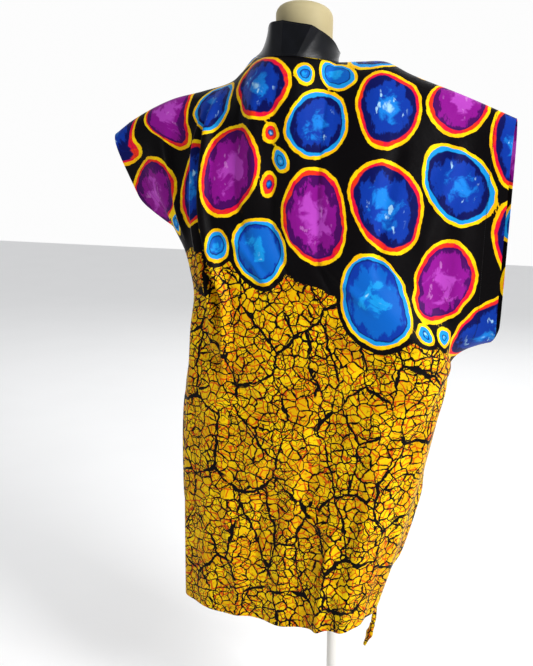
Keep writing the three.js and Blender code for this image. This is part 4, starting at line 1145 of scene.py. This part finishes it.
runs = []
for sign in (1, -1):
    share = cuff_fold / half_width(drop)
    column = (1 - sign * np.minimum(share, 0.999)) / 2 * (BACK_COLUMNS - 1)
    runs.append(on_cloth(back_cloth, cuff_rows, column, STITCH_PROUD))
runs.append(across_all(back_cloth, hem_row, BACK_HEM_POINTS))
sewn("robe_back_stitching", runs, black_thread, rule, "robe_print")
for side in SIDES:
    front, band = front_cloth[side], bands[side]
    share = (half_width(drop) - cuff_fold) / (half_width(drop) - neck_edge(drop))
    column = (np.clip(share, FRONT_START, 1) - FRONT_START) / (1 - FRONT_START) * (FRONT_COLUMNS - 1)
    if side == "left":
        column = FRONT_COLUMNS - 1 - column
    keep = share > FRONT_START
    runs = [on_cloth(front, cuff_rows[keep], column[keep], STITCH_PROUD), across_all(front, hem_row, FRONT_HEM_POINTS)]
    sewn("robe_front_" + side + "_stitching", runs, black_thread, rule, "robe_print", Seed=9)
    rows = np.linspace(0, len(band) - 1, BAND_POINTS)
    runs = [on_cloth(band, rows, np.full(BAND_POINTS, c), BAND_STITCH_PROUD) for c in BAND_STITCH_COLUMNS]
    sewn("neckband_" + side + "_stitching", runs, black_thread, rule, "neckband", Seed=3)
    runs = [across_all(shorts_legs[side], LEG_STITCH_ROW, LEG_POINTS)]
    sewn("shorts_" + side + "_stitching", runs, ochre_thread, rule, "crackle_print", Seed=5)

# ---------------------------------------------------------------------------
# Studio. A pale paper floor and a surround that goes from white before the
# robe to grey behind its left. A bright key light stands at the wearer's
# right, and two weak wide ones open the shade.
# ---------------------------------------------------------------------------
FLOOR_HALF = 8
LIGHTS = (  # name, place, size, power
    ("key", (-3.0, 1.5, 2.5), 1.1, 125.0), ("fill", (2.4, 2.6, 1.8), 2.5, 6.0), ("front", (0.4, -3.2, 3.0), 3.0, 45.0),
)
LIT_POINT = Vector((0, 0, 0.95))
WORLD_STRENGTH, WORLD_TURN = 0.98, math.radians(100.0)
WORLD_GREY, WORLD_WHITE = (0.18, (0.30, 0.31, 0.33, 1.0)), (0.80, (1.0, 1.0, 1.0, 1.0))

paper = Finish("pale_floor")
paper.set(Base_Color=paper.blend(paper.noise(paper.solid(), 3.0, 3.0), (0.92, 0.92, 0.92, 1), (0.95, 0.95, 0.95, 1)),
          Roughness=0.8)
corners = [(x * FLOOR_HALF, y * FLOOR_HALF, 0) for x, y in ((-1, -1), (1, -1), (1, 1), (-1, 1))]
floor = shown("floor", corners, [(0, 1, 2, 3)], paper.material)

world = bpy.data.worlds.new("studio")
bpy.context.scene.world = world
world.use_nodes = True
nodes, surround = world.node_tree.nodes, world.node_tree.nodes["Background"]
facing, toward, sweep, ramp = (nodes.new("ShaderNode" + kind)
                               for kind in ("TexCoord", "Mapping", "TexGradient", "ValToRGB"))
toward.inputs["Rotation"].default_value = (0.0, 0.0, WORLD_TURN)
toward.inputs["Scale"].default_value = (0.5, 0.5, 0.5)
toward.inputs["Location"].default_value = (0.5, 0.0, 0.0)
for stop, (position, colour) in zip(ramp.color_ramp.elements, (WORLD_GREY, WORLD_WHITE)):
    stop.position, stop.color = position, colour
for start, end in ((facing.outputs["Generated"], toward.inputs["Vector"]),
                   (toward.outputs["Vector"], sweep.inputs["Vector"]),
                   (sweep.outputs["Fac"], ramp.inputs["Fac"]), (ramp.outputs["Color"], surround.inputs["Color"])):
    world.node_tree.links.new(start, end)
surround.inputs["Strength"].default_value = WORLD_STRENGTH
for name, spot, size, power in LIGHTS:
    light = bpy.data.lights.new(name, "AREA")
    light.energy, light.size = power, size
    lamp = added(name, light)
    lamp.location = spot
    lamp.rotation_euler = (LIT_POINT - Vector(spot)).to_track_quat("-Z", "Y").to_euler()
bpy.context.scene.view_settings.view_transform = "Standard"

# ---------------------------------------------------------------------------
# Camera. At the height of the shoulders, behind the robe and to the wearer's
# right, looking a little down.
# ---------------------------------------------------------------------------
AZIMUTH, PITCH, FOCAL_PIXELS = math.radians(200.0), math.radians(12.0), 900.0
FRAME_WIDTH, FRAME_HEIGHT, AXIS_COLUMN = 533.0, 666.0, 293.0    # in pixels; the axis is where the robe's middle lies
CAMERA_AWAY, CAMERA_HEIGHT, SENSOR = 1.72, 1.26, 36.0
yaw = math.atan((AXIS_COLUMN - FRAME_WIDTH / 2) / FOCAL_PIXELS * math.cos(PITCH))
ahead = Vector((-math.sin(AZIMUTH), math.cos(AZIMUTH), 0.0))
aside = ahead.cross(Vector((0.0, 0.0, 1.0)))
ahead = ahead * math.cos(yaw) - aside * math.sin(yaw)
camera_data = bpy.data.cameras.new("camera")
camera_data.sensor_fit, camera_data.sensor_height = "VERTICAL", SENSOR
camera_data.lens = FOCAL_PIXELS * SENSOR / FRAME_HEIGHT
camera = added("camera", camera_data)
camera.location = (math.sin(AZIMUTH) * CAMERA_AWAY, -math.cos(AZIMUTH) * CAMERA_AWAY, CAMERA_HEIGHT)
look = ahead * math.cos(PITCH) - Vector((0.0, 0.0, 1.0)) * math.sin(PITCH)
camera.rotation_euler = look.to_track_quat("-Z", "Y").to_euler()
bpy.context.scene.camera = camera
